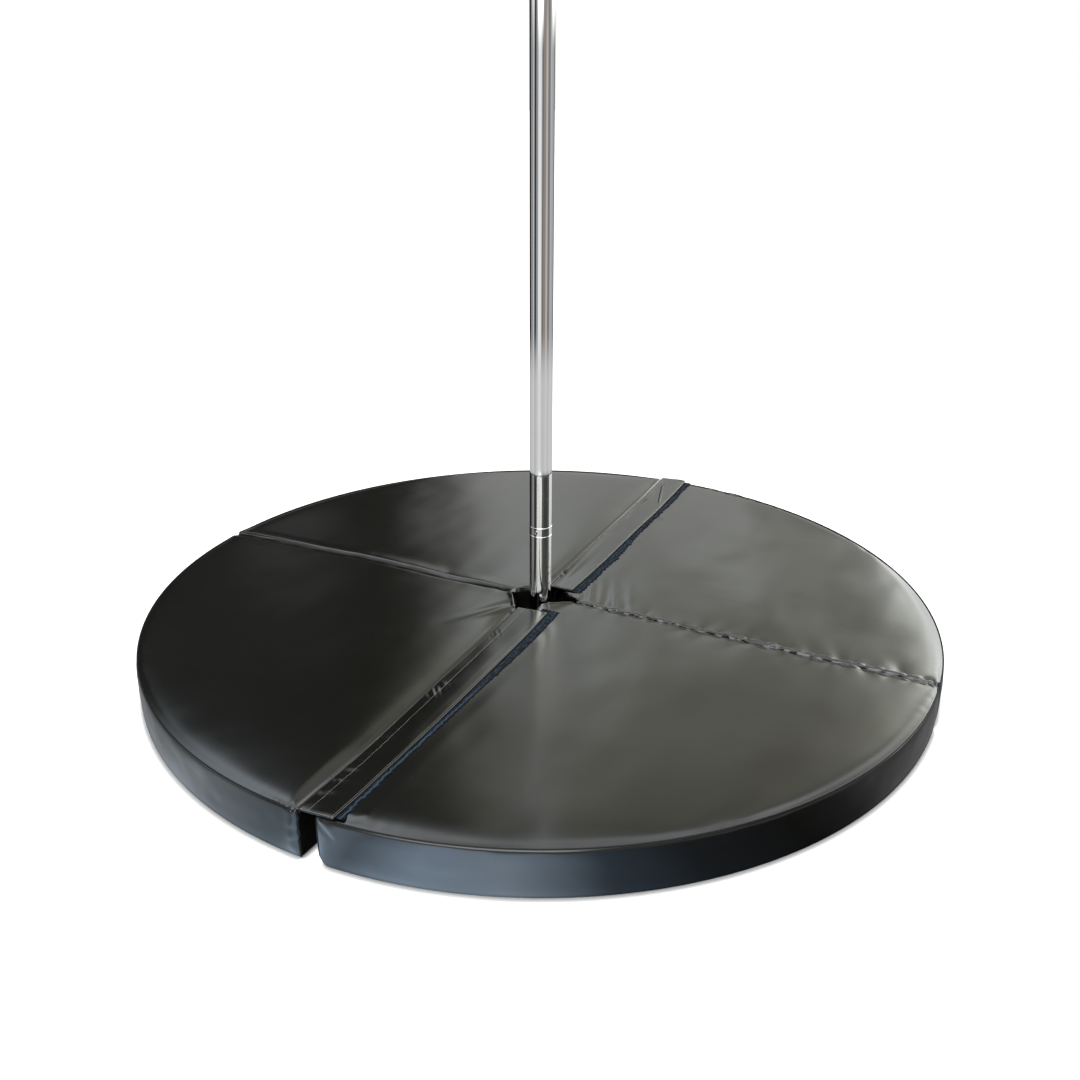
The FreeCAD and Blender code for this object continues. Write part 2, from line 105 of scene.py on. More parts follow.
# Each closing flap: its end, and tables of (distance from the pole, place across).
FLAPS = {
    "front": {
        "end": -1,
        "start": 0.057,
        "seam": (
            (0.057, -0.0198), (0.1, -0.0184), (0.15, -0.0170), (0.2, -0.0156), (0.35, -0.0150),
            (0.45, -0.0144), (0.5, -0.0136), (0.55, -0.013), (0.6, -0.0132), (0.65, -0.0145),
            (0.7, -0.016), (0.75, -0.0178),
        ),
        "hem": (
            (0.057, 0.0415), (0.1, 0.0442), (0.15, 0.0458), (0.2, 0.0466), (0.45, 0.0468),
            (0.52, 0.0462), (0.6, 0.0443), (0.7, 0.0425), (0.745, 0.0405),
        ),
        "strip": (
            (0.045, 0.0625), (0.1, 0.0642), (0.15, 0.0655), (0.23, 0.0652), (0.3, 0.0622),
            (0.4, 0.0598), (0.5, 0.0577), (0.6, 0.0555), (0.7, 0.0543), (0.745, 0.053),
        ),
        "strip_start": 0.0455,
        "topstitch": 0.0158,
        "ragged": 0.0022,
        "rim_droop": 0.0006,
    },
    "rear": {
        "end": 1,
        "start": 0.0515,
        "seam": ((0.05, -0.0118), (0.3, -0.0112), (0.6, -0.0121), (0.75, -0.0152)),
        "hem": (
            (0.05, 0.044), (0.1, 0.0465), (0.2, 0.0490), (0.4, 0.0492), (0.46, 0.0508),
            (0.53, 0.0518), (0.6, 0.0505), (0.7, 0.049), (0.745, 0.0475),
        ),
        "strip": (
            (0.048, 0.0625), (0.1, 0.0655), (0.2, 0.0668), (0.245, 0.0688), (0.3, 0.066),
            (0.37, 0.063), (0.45, 0.0615), (0.5, 0.064), (0.56, 0.065), (0.6, 0.0668), (0.65, 0.0645),
            (0.745, 0.0625),
        ),
        "strip_start": 0.0485,
        "topstitch": 0.0052,
        "ragged": 0.0036,
        "rim_droop": -0.0008,
    },
}

# What stands round the studio, by degrees from the front towards the right: each panel's first
# edge and its tone, once at mat height as the pole mirrors it, and once above it for the vinyl.
LOW_PANELS = (
    (-180, (0.25, 0.25, 0.25)), (-124, (0.01, 0.01, 0.01)), (-94, (0.3, 0.3, 0.31)),
    (-61, (0.6, 0.61, 0.63)), (-49, (0.04, 0.045, 0.05)), (-28, (0.33, 0.33, 0.34)),
    (-9, (0.85, 0.86, 0.88)), (21, (0.42, 0.42, 0.43)), (29, (0.16, 0.14, 0.125)),
    (38, (0.3, 0.25, 0.22)), (62, (0.5, 0.49, 0.48)), (82, (0.2, 0.2, 0.2)),
    (97, (0.26, 0.26, 0.26)), (108, (0.5, 0.5, 0.5)), (125, (0.42, 0.42, 0.42)),
    (156, (0.2, 0.2, 0.2)),
)
HIGH_PANELS = (
    (-180, (3.8, 3.83, 3.8)), (-177.2, (1.4, 1.42, 1.38)), (-172.6, (0.82, 0.83, 0.76)),
    (-168, (1.12, 1.13, 1.12)), (-157, (1.25, 1.27, 1.28)), (-149.4, (0.02, 0.02, 0.015)),
    (-143.5, (0.06, 0.06, 0.06)), (-90, (0.5, 0.5, 0.5)), (-77, (1.6, 1.65, 1.7)),
    (-47, (0.1, 0.1, 0.1)), (-28, (0.6, 0.6, 0.6)), (-15, (5.5, 5.5, 5.5)), (37, (0.5, 0.5, 0.5)),
    (58, (0.3, 0.3, 0.3)), (100, (0.8, 0.8, 0.82)), (122, (5.0, 5.1, 5.2)),
)
# Tint of the vinyl's surroundings by the sine of the height above the horizon.
RISE_STOPS = (
    (0.0, (0.8, 0.8, 0.77, 1)), (0.33, (0.75, 0.75, 0.72, 1)), (0.385, (1.12, 1.14, 1.1, 1)),
    (0.42, (1.22, 1.24, 1.18, 1)), (0.47, (1.06, 1.07, 0.96, 1)), (0.53, (0.8, 0.8, 0.66, 1)),
    (0.7, (0.78, 0.78, 0.66, 1)), (0.8, (1.0, 1.0, 1.0, 1)), (0.9, (2.4, 2.45, 2.5, 1)),
    (1.0, (2.8, 2.85, 2.95, 1)),
)
# Small bright patches: turn, height and spread in degrees, and how much they add.
PATCHES = (
    (-155.0, 28.4, 4.6, (0.95, 1.05, 1.2, 1)), (-140.3, 22.0, 3.4, (0.2, 0.21, 0.21, 1)),
    (-164.0, 23.5, 3.5, (0.2, 0.22, 0.22, 1)), (-171.5, 27.0, 3.0, (0.3, 0.3, 0.29, 1)),
    (16.0, 55.0, 30.0, (5.0, 5.4, 6.0, 1)), (-122.0, 48.0, 16.0, (2.4, 2.7, 3.0, 1)),
    (72.0, 50.0, 24.0, (2.2, 2.2, 2.3, 1)), (150.0, 42.0, 20.0, (3.0, 3.1, 3.2, 1)),
)
# Tint and glow of the floor close to the rim, which the side bands mirror: painted light, brighter than
# white in places, that stands in for the bands' sheen.
RIM_FLOOR_GLOW = (
    (-60, (0.36, 0.37, 0.38)), (-42, (0.34, 0.36, 0.38)), (-33, (0.5, 0.54, 0.57)),
    (-24, (0.98, 1.08, 1.18)), (-14, (0.9, 1.05, 1.2)), (-6, (0.82, 1.05, 1.25)),
    (-2, (1.9, 2.4, 2.95)), (3, (0.95, 1.25, 1.6)), (11, (2.7, 3.5, 4.5)), (22, (2.7, 3.4, 4.2)),
    (33, (0.36, 0.52, 0.75)), (44, (0.06, 0.09, 0.13)), (58, (0.004, 0.006, 0.012)),
    (66, (0.07, 0.07, 0.08)), (74, (0.24, 0.24, 0.25)), (92, (0.26, 0.26, 0.27)),
)
# Degrees from the front towards the right at which the front softbox stands.
FRONT_LAMP_TURN = 9.0
WHITE = (1.0, 1.0, 1.0, 1.0)

# Unit way from the pole to the camera, as (right, front).
FRONT_WAY = (0.4287, 0.9034)

# A quarter's mesh: cells along each side of its grid, steps of its outline, turns of its edges'
# rounding, heights of the rings on its walls, and the ring at the rim seam with its depth.
GRID_CELLS = 80
OUTLINE_STEP = 0.001
EDGE_ARC = (22.5, 45.0, 67.5, 90.0)
WALL_HEIGHTS = (0.071, 0.058, 0.0555, 0.0495, 0.0385, 0.0325, 0.03, 0.016)
SEAM_RING = 2
SEAM_DEPTH = 0.0007

# Hollow for the zip in a split face: its run, its band of heights and its depth.
ZIP_RUN = (0.104, 0.696)
ZIP_BAND = (0.034, 0.054)
ZIP_DEPTH = 0.0055

# Crown and waves of the rim band, frames of the cloth, how much more the right quarters' tops
# wave, and the height that the loop strips are sewn on at.
BAND_CROWN = 0.0004
BAND_WAVE = 0.0009
PUFF_FRAMES = 16
RESTLESS = {"right_rear": 2.6, "right_front": 1.5}
STRIP_BED = 0.0876

# A folded half: height of its fold's axis, half the angle left between its tops, and how softly
# they end there.
FOLD_HEIGHT = 0.0894
FOLD_HALF_ANGLE = math.radians(2.0)
FOLD_SOFTNESS = 0.0003

# Slanting marks beside the right rear crease: place and strength. Bumps by the rear strip, each
# at (across, along). Cushions under the rear flap: place, height and spread.
STROKES = ((0.072, 0.8), (0.098, 1.0), (0.122, 0.7), (0.149, 0.9), (0.182, 0.5))
STRIP_BUMPS = ((0.071, 0.35), (0.071, 0.5), (0.071, 0.57))
FLAP_CUSHIONS = (
    ((-0.001, 0.6), 0.0024, (0.006, 0.04)), ((0.008, 0.17), 0.0016, (0.009, 0.1)),
    ((0.0, 0.45), 0.0009, (0.006, 0.05)),
)
# Height of a flap's upper face by its place across, its sheet's thickness, the rows and columns of
# its grid, and how far in from its hem and its ends the stitches run.
FLAP_HEIGHTS = (
    (-0.0235, 0.0882), (-0.012, 0.0885), (0.0, 0.0889), (0.015, 0.0895), (0.028, 0.0900),
    (0.05, 0.0902),
)
FLAP_THICKNESS = 0.0009
FLAP_GRID = (250, 36)
HEM_STITCH = 0.0035

# Loops or hooks on a square metre of strip.
PILE_DENSITY = 90000.0

# Lock ring: reach and thickness of its rim beads, and the height and reach of its screws.
BEAD_REACH = 0.0212
BEAD_RADIUS = 0.0004
SCREW_HEIGHT = 0.2318
SCREW_FACE = 0.0219


def number(name, description, default, **settings):
    """A number in a property group."""
    return bpy.props.FloatProperty(name=name, description=description, default=default, **settings)


def length(name, description, default):
    """A size in metres in a property group."""
    return number(name, description, default, unit="LENGTH")


def angle(name, description, degrees):
    """An angle in a property group."""
    return number(name, description, math.radians(degrees), subtype="ANGLE")


def triple(name, description, default, subtype="COLOR"):
    """A colour or a place in a property group."""
    return bpy.props.FloatVectorProperty(
        name=name, description=description, default=default, subtype=subtype, size=3
    )


class MatSizes(bpy.types.PropertyGroup):
    """Sizes of the mat's soft parts."""

    radius: length("Radius", "From the pole to the rim", 0.75)
    height: length("Height", "Edge height of a quarter", 0.0875)
    edge: length("Edge round", "Rounding of a pad's edges", 0.006)
    slack: length("Slack", "How far below full a cover starts", 0.0022)
    swell: length("Swell", "Furthest that the cover puffs out", 0.0045)
    ripple: length("Ripple", "Height of the vinyl's slow waves", 0.0009)
    pucker: length("Pucker", "Depth of the gathers at a tight seam", 0.0017)
    piping: length("Piping", "Radius of the rim piping", 0.0012)
    stitch: length("Stitch", "Length of one stitch", 0.0027)
    flap_wrinkle: length("Flap wrinkle", "Height of the flap's creases", 0.0007)


class MatFinishes(bpy.types.PropertyGroup):
    """Colours of the part's finishes."""

    vinyl: triple("Vinyl", "Cover cloth", (0.0048, 0.0047, 0.0038))
    piping: triple("Piping", "Rim piping", (0.003, 0.003, 0.003))
    thread: triple("Thread", "Topstitching", (0.3, 0.3, 0.28))
    pile: triple("Pile", "Hook and loop strip", (0.0018, 0.003, 0.005))
    fleck: triple("Fleck", "Pale flecks in the strip", (0.032, 0.05, 0.074))
    chrome: triple("Chrome", "Pole", (0.86, 0.86, 0.855))
    steel: triple("Steel", "Plain steel", (0.45, 0.45, 0.44))
    bronze: triple("Bronze", "Bushes", (0.5, 0.33, 0.15))
    rubber: triple("Rubber", "Foot and ceiling discs", (0.012, 0.012, 0.012))


class StudioSettings(bpy.types.PropertyGroup):
    """Camera, floor and light."""

    lens: number("Lens", "Focal length in millimetres", 36.177)
    camera_place: triple("Camera", "Camera's place", (0.8185, -1.7250, 1.0300), "TRANSLATION")
    camera_tilt: angle("Tilt", "Camera's angle up from straight down", 66.742)
    camera_turn: angle("Turn", "Camera's turn about the upright", 25.42)
    camera_roll: number("Roll", "Camera's roll about its line of sight", 0.00334, subtype="ANGLE")
    dome: number("Dome", "Level of the even light from all round", 0.8)
    key: number("Key", "Front softbox in watts", 34.0)


def sum_operator(operation, swapped=False):
    """One of Value's operators. In a swapped one, the plain number stands on the left."""
    def method(self, other):
        first, second = (other, self) if swapped else (self, other)
        return self.tree.maths(operation, first, second)
    return method


class Value:
    """A node socket that takes part in sums, so that a pattern's maths reads as maths."""

    __add__ = sum_operator("ADD")
    __radd__ = sum_operator("ADD", True)
    __sub__ = sum_operator("SUBTRACT")
    __rsub__ = sum_operator("SUBTRACT", True)
    __mul__ = sum_operator("MULTIPLY")
    __truediv__ = sum_operator("DIVIDE")
    __gt__ = sum_operator("GREATER_THAN")

    def __init__(self, tree, socket):
        self.tree = tree
        self.socket = socket

    def ramp(self, low, high):
        """Smooth step from 0 at low to 1 at high."""
        settings = {"interpolation_type": "SMOOTHSTEP"}
        return self.tree.node("ShaderNodeMapRange", settings, {"Value": self, 1: low, 2: high})


class Tree:
    """A node tree, filled by one call for each node."""

    def __init__(self, tree):
        self.tree = tree
        tree.nodes.clear()

    def node(self, kind, settings=None, inputs=None, output=0):
        """Adds a node: its settings first, then values or links for its sockets."""
        made = self.tree.nodes.new(kind)
        for name, value in (settings or {}).items():
            if name == "stops":
                self.fill_ramp(made.color_ramp, value)
            else:
                setattr(made, name, value)
        for name, value in (inputs or {}).items():
            if isinstance(value, Value):
                self.tree.links.new(value.socket, made.inputs[name])
            else:
                made.inputs[name].default_value = value
        self.last = made
        return Value(self, made.outputs[output]) if made.outputs else None

    def out(self, made, output):
        """Another output of the node that made this value."""
        return Value(self, made.socket.node.outputs[output])

    def maths(self, operation, first, second=0.0):
        return self.node("ShaderNodeMath", {"operation": operation}, {0: first, 1: second})

    def mix(self, factor, first, second, blend="MIX"):
        """Mix of two colours."""
        settings = {"data_type": "RGBA", "blend_type": blend}
        return self.node("ShaderNodeMix", settings, {"Factor": factor, 6: first, 7: second}, output=2)

    def mix_shaders(self, factor, first, second):
        return self.node("ShaderNodeMixShader", None, {0: factor, 1: first, 2: second})

    def axes(self, vector):
        """The X, Y and Z of a vector."""
        x = self.node("ShaderNodeSeparateXYZ", None, {"Vector": vector}, "X")
        return x, self.out(x, "Y"), self.out(x, "Z")

    def turn(self, x, y):
        """Turn from the rear round by the left, as a share of a full one: the front is at half."""
        return self.maths("ARCTAN2", x, y * -1.0) / math.tau + 0.5

    def tones(self, stops, place):
        """Colours laid out along a value."""
        return self.node("ShaderNodeValToRGB", {"stops": stops}, {"Fac": place})

    def fill_ramp(self, ramp, stops):
        while len(ramp.elements) > 1:
            ramp.elements.remove(ramp.elements[-1])
        ramp.elements[0].position = stops[0][0]
        ramp.elements[0].color = stops[0][1]
        for position, colour in stops[1:]:
            ramp.elements.new(position).color = colour


class Finish(Tree):
    """A material whose pattern reads Object coordinates, ending in one surface shader."""

    def __init__(self, name):
        self.material = bpy.data.materials.new(name)
        self.material.use_nodes = True
        super().__init__(self.material.node_tree)
        self.place = self.node("ShaderNodeTexCoord", output="Object")

    def noise(self, scale, detail=2.0, roughness=0.5, vector=None, distortion=0.0):
        return self.node("ShaderNodeTexNoise", None, {
            "Vector": vector or self.place, "Scale": scale, "Detail": detail,
            "Roughness": roughness, "Distortion": distortion,
        })

    def cells(self, scale):
        return self.node("ShaderNodeTexVoronoi", None, {"Vector": self.place, "Scale": scale})

    def stretched(self, scale):
        return self.node("ShaderNodeMapping", None, {"Vector": self.place, "Scale": scale})

    def attribute(self, name):
        return self.node("ShaderNodeAttribute", {"attribute_name": name}, output="Fac")

    def bump(self, height, distance, strength, under=None):
        inputs = {"Height": height, "Distance": distance, "Strength": strength}
        if under is not None:
            inputs["Normal"] = under
        return self.node("ShaderNodeBump", None, inputs)

    def surface(self, **sockets):
        inputs = {name.replace("_", " "): value for name, value in sockets.items()}
        shader = self.node("ShaderNodeBsdfPrincipled", None, inputs)
        self.node("ShaderNodeOutputMaterial", None, {"Surface": shader})


def panel_stops(panels, blur=1.5):
    """Ramp stops for panels that stand side by side all the way round."""
    stops = [(0.0, (*panels[0][1], 1.0))]
    for before, (first, tone) in zip(panels, panels[1:]):
        stops.append((0.5 + (first - blur) / 360, (*before[1], 1.0)))
        stops.append((0.5 + (first + blur) / 360, (*tone, 1.0)))
    return stops


def rgba(colour, scale=1.0):
    return (colour[0] * scale, colour[1] * scale, colour[2] * scale, 1.0)


def grade(value, low, high):
    """Smooth step of an array from 0 at low to 1 at high."""
    step = np.clip((value - low) / (high - low), 0.0, 1.0)
    return step * step * (3.0 - 2.0 * step)


def bell(offset, width):
    """Bell curve of an array: 1 at no offset, falling away over the width."""
    return np.exp(-((offset / width) ** 2))


def bump_at(across, along, place, size):
    """Smooth round bump of height 1 at a place."""
    return np.exp(-(((across - place[0]) / size[0]) ** 2) - ((along - place[1]) / size[1]) ** 2)


def look_up(table, place, spread=0.012):
    """Reads a table of (place, value) pairs, rounded over its corners."""
    places, values = zip(*table)
    samples = [np.interp(place + shift * spread, places, values) for shift in (-1.5, -0.5, 0.5, 1.5)]
    return sum(samples) / len(samples)


def vinyl(name, colour, grain=1.0, gloss=0.0):
    """Satin coated cloth: fine leather grain, faint handling marks and paler worn seams."""
    f = Finish(name)
    broad = f.noise(4.5, 3.0, 0.55)
    smear = f.noise(1.0, 4.0, 0.6, f.stretched((9.0, 26.0, 26.0)), 0.6)
    speck = f.noise(420.0, 2.0, 0.6)
    dust = broad.ramp(0.35, 0.75) * 0.3 + smear.ramp(0.5, 0.8) * 0.25 + f.attribute("seam_wear") * 0.5
    tone = f.mix(dust * 0.5, rgba(colour), rgba(colour, 1.8))
    tone = f.mix(speck.ramp(0.62, 0.8) * 0.25, tone, rgba(colour, 2.2))
    grain_height = f.cells(1050.0) * 0.7 + f.noise(2300.0, 2.0, 0.6) * 0.5
    waves = f.bump(f.noise(16.0, 1.0, 0.4), 0.0006, 0.3)
    normal = f.bump(grain_height, 0.0001, 0.05 * grain, waves)
    across, along, _ = f.axes(f.place)
    right, front = FRONT_WAY
    beside = f.maths("ABSOLUTE", across * front + along * right)
    ahead = across * right - along * front
    handled = (1.0 - beside.ramp(0.04, 0.11)) * ahead.ramp(0.03, 0.06) * (1.0 - ahead.ramp(0.35, 0.7))
    rough = handled * 0.065 + 0.18 - gloss + (broad - 0.5) * 0.05
    rough = rough + (smear - 0.5) * 0.03 + (speck - 0.5) * 0.05
    f.surface(Base_Color=tone, Roughness=rough, Normal=normal)


def pile(name, colour, fleck, scale=1.0):
    """Brushed loop or stiff hook pile, dark with pale flecks and a row of stitches, and painted shade
    where its strip marks a shaded edge.
    """
    f = Finish(name)
    clump = f.noise(300.0 * scale, 1.0, 0.6, f.stretched((1.0, 0.6, 1.0)))
    strand = f.cells(700.0 * scale)
    # Painted shade: the flecks fade to the dark pile where the strip marks its edges in shade.
    light = clump.ramp(0.46, 0.54) * (1.0 - f.attribute("strip_edge"))
    tone = f.mix(light, rgba(colour), rgba(fleck))
    tone = f.mix(strand.ramp(0.3, 0.6) * 0.4, tone, rgba(colour, 0.6))
    tone = f.mix(f.attribute("strip_seam"), tone, rgba(fleck, 2.4))
    normal = f.bump(clump * 1.4 + strand, 0.001, 0.9)
    f.surface(Base_Color=tone, Roughness=0.85, Specular_IOR_Level=0.12, Normal=normal)


def metal(name, colour, rough, brushed, marks, level=0.0):
    """Plated or plain metal with faint wipe marks and brushing along one direction."""
    f = Finish(name)
    lines = f.noise(1.0, 3.0, 0.65, f.stretched(tuple(60.0 * s for s in brushed)))
    smear = f.noise(14.0, 4.0, 0.6, None, 0.8)
    tone = f.mix(smear.ramp(0.4, 0.75) * 0.25, rgba(colour), rgba(colour, 0.86))
    roughness = rough + smear.ramp(0.45, 0.8) * marks + lines * level
    f.surface(Base_Color=tone, Metallic=1.0, Roughness=roughness, Normal=f.bump(lines, 0.00003, 0.2))


def plain(name, colour, rough, grain=400.0, depth=0.0002):
    """Rubber, foam, thread or tape with a fine even texture."""
    f = Finish(name)
    speck = f.noise(grain, 3.0, 0.6)
    tone = f.mix(f.noise(18.0, 3.0).ramp(0.3, 0.8) * 0.4, rgba(colour), rgba(colour, 1.7))
    f.surface(
        Base_Color=tone, Roughness=rough + (speck - 0.5) * 0.1, Specular_IOR_Level=0.2,
        Normal=f.bump(speck, depth, 0.6),
    )


def woven(name, colour):
    """Twill tape on the zips."""
    f = Finish(name)
    ribs, across = (
        f.node("ShaderNodeTexWave", {"bands_direction": way}, {"Vector": f.place, "Scale": scale})
        for way, scale in (("Z", 420.0), ("Y", 320.0))
    )
    weave = ribs * across
    tone = f.mix(weave * 0.6, rgba(colour, 0.6), rgba(colour, 1.8))
    f.surface(Base_Color=tone, Roughness=0.8, Normal=f.bump(weave, 0.0003, 0.7))


def material(name):
    """A finish by name, made once."""
    if name not in bpy.data.materials:
        tones = bpy.context.scene.mat_finishes
        maker, *values = {
            "cover_vinyl": (vinyl, tones.vinyl),
            "flap_vinyl": (vinyl, tones.vinyl, 0.9, 0.02),
            "piping_vinyl": (plain, tones.piping, 0.6, 900.0, 0.0001),
            "stitch_thread": (plain, tones.thread, 0.6, 1500.0, 0.0001),
            "loop_pile": (pile, tones.pile, tones.fleck),
            "hook_pile": (pile, tones.pile, tones.fleck, 1.3),
            "pole_chrome": (metal, tones.chrome, 0.035, (1.0, 1.0, 0.02), 0.03),
            "foot_chrome": (metal, tones.chrome, 0.08, (1.0, 1.0, 1.0), 0.05),
            "plain_steel": (metal, tones.steel, 0.28, (1.0, 1.0, 0.1), 0.08, 0.1),
            "screw_black": (metal, (0.32, 0.32, 0.33), 0.2, (3.0, 3.0, 3.0), 0.1),
            "zip_nickel": (metal, (0.28, 0.28, 0.29), 0.25, (3.0, 3.0, 3.0), 0.1),
            "bush_bronze": (metal, tones.bronze, 0.3, (1.0, 1.0, 0.2), 0.1),
            "disc_rubber": (plain, tones.rubber, 0.7),
            "zip_tape": (woven, (0.012, 0.012, 0.013)),
        }[name]
        maker(name, *values)
    return bpy.data.materials[name]


def add_object(name, data):
    """An object of the scene, standing at the origin."""
    obj = bpy.data.objects.new(name, data)
    bpy.context.scene.collection.objects.link(obj)
    return obj


def mesh_object(name, points, faces, edges=(), smooth=True):
    """A mesh object from points, faces and loose edges."""
    mesh = bpy.data.meshes.new(name)
    mesh.from_pydata([tuple(p) for p in points], edges, faces)
    mesh.validate()
    obj = add_object(name, mesh)
    shade(obj, smooth)
    return obj


def shade(obj, smooth=True):
    """Smooth or flat faces all over."""
    obj.data.polygons.foreach_set("use_smooth", [smooth] * len(obj.data.polygons))


def solid(name, points, faces):
    """A closed mesh object whose faces look outwards."""
    obj = mesh_object(name, points, faces)
    work = bmesh.new()
    work.from_mesh(obj.data)
    bmesh.ops.recalc_face_normals(work, faces=work.faces)
    work.to_mesh(obj.data)
    work.free()
    return obj


def store(obj, label, values):
    """Keeps a number for each point, for a finish to read."""
    attribute = obj.data.attributes.new(label, "FLOAT", "POINT")
    attribute.data.foreach_set("value", np.asarray(values, np.float32))


def ring_faces(count, sides, closed=False):
    """Faces between neighbouring rings of points, and from the last to the first if closed."""
    faces = []
    for i in range(count if closed else count - 1):
        here = i * sides
        there = (i + 1) % count * sides
        for k in range(sides):
            step = (k + 1) % sides
            faces.append((here + k, here + step, there + step, there + k))
    return faces


def border(index):
    """The outermost point numbers of a grid of them, in order."""
    return np.concatenate([index[:-1, 0], index[-1, :-1], index[:0:-1, -1], index[0, :0:-1]])


def settle(obj):
    """Turns an object with modifiers into a plain mesh of the same name."""
    bpy.context.view_layer.update()
    graph = bpy.context.evaluated_depsgraph_get()
    mesh = bpy.data.meshes.new_from_object(obj.evaluated_get(graph))
    obj.modifiers.clear()
    old = obj.data
    obj.data = mesh
    bpy.data.meshes.remove(old)
    obj.vertex_groups.clear()


def read_points(obj):
    points = np.empty(len(obj.data.vertices) * 3)
    obj.data.vertices.foreach_get("co", points)
    return points.reshape(-1, 3)


def write_points(obj, points):
    obj.data.vertices.foreach_set("co", np.asarray(points, float).ravel())
    obj.data.update()


def finished(obj, body, finish):
    """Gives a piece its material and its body."""
    obj.data.materials.clear()
    obj.data.materials.append(material(finish))
    if body:
        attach(obj, body)
    return obj


def fractal(points, scale, seed):
    """Smooth noise in about -1 to 1 at each point."""
    shift = Vector((seed * 3.7, seed * 1.3, seed * 7.1))
    return np.array([noise.noise(Vector(p) * scale + shift) for p in points])


def crease_line(side, out):
    """How far a sewn crease lies behind the mat's middle line."""
    line = look_up(CREASE_LINES[side], out)
    if side > 0:
        wobble = 0.0016 * np.sin(out * 205.0 + 1.3) + 0.0012 * np.sin(out * 361.0)
        line = line + (wobble + 0.0009 * np.sin(out * 97.0)) * grade(0.75 - out, 0.0, 0.03)
    else:
        line = line + 0.0012 * np.sin(out * 21.0) + 0.0004 * np.sin(out * 90.0)
    return line


def crease_gap(side):
    """Half the gap between the two covers along a crease: the left one is pulled open."""
    return 0.0013 if side < 0 else 0.0005


def run_length(path):
    """Distance along a path to each of its points."""
    return np.concatenate([[0], np.cumsum(np.hypot(*np.diff(path, axis=0).T))])


def sampled(values, run, at):
    """Rows of an array read at other distances along its path."""
    return np.stack([np.interp(at, run, column) for column in values.T], 1)


def edge_path(quarter, sizes):
    """Dense closed outline of a quarter in its own axes, and places of its four patch corners."""
    side, end = QUARTERS[quarter]
    radius = sizes.radius
    hole = [list(p) for p in HOLE_EDGES[quarter]]
    hole[0][1] = crease_gap(side) + end * crease_line(side, hole[0][0])
    out = np.linspace(hole[0][0], radius, 720)
    crease = np.stack([out, crease_gap(side) + end * crease_line(side, out)], 1)
    away = np.linspace(radius, hole[-1][1], 700)
    split = np.stack([look_up(SPLIT_LINES[quarter], away), away], 1)
    crease, split = (line[np.hypot(line[:, 0], line[:, 1]) < radius] for line in (crease, split))
    start = math.atan2(crease[-1][1], crease[-1][0])
    stop = math.atan2(split[0][1], split[0][0])
    turn = np.linspace(start, stop, 1180)
    rim = radius * np.stack([np.cos(turn), np.sin(turn)], 1)
    path = np.concatenate([crease, rim, split, np.array(hole[::-1])])
    closed = np.concatenate([path, path[:1]])
    run = run_length(closed)
    path = sampled(closed, run, np.linspace(0, run[-1], int(run[-1] / OUTLINE_STEP), endpoint=False))
    for step in range(12):
        rounded = sum(np.roll(path, shift, axis=0) for shift in range(-4, 5)) / 9.0
        share = np.ones(len(path)) if step < 3 else 1.0 - grade(np.hypot(*path.T), 0.07, 0.1)
        path = path + (rounded - path) * share[:, None]
    half = (start + stop) / 2
    arc_middle = radius * np.array([math.cos(half), math.sin(half)])
    corners = []
    for target in (np.array(hole[len(hole) // 2]), crease[-1], arc_middle, split[0]):
        corners.append(int(np.argmin(np.hypot(*(path - target).T))))
    return path, corners


def graded_fractions(cells):
    """Fractions from 0 to 1 whose steps are finer at both ends."""
    steps = np.array([min(1.0, 0.3 * 1.25 ** min(i, cells - 1 - i)) for i in range(cells)])
    return np.concatenate([[0.0], np.cumsum(steps) / steps.sum()])


def patch(sides, fractions):
    """Grid of points spanned between four boundary rows: bottom, right, top, left."""
    bottom, right, top, left = sides
    a = fractions[:, None, None]
    b = fractions[None, :, None]
    grid = (1 - b) * bottom[:, None] + b * top[:, None] + (1 - a) * left[None] + a * right[None]
    grid -= (1 - a) * (1 - b) * bottom[0] + a * (1 - b) * bottom[-1]
    grid -= (1 - a) * b * top[0] + a * b * top[-1]
    return grid


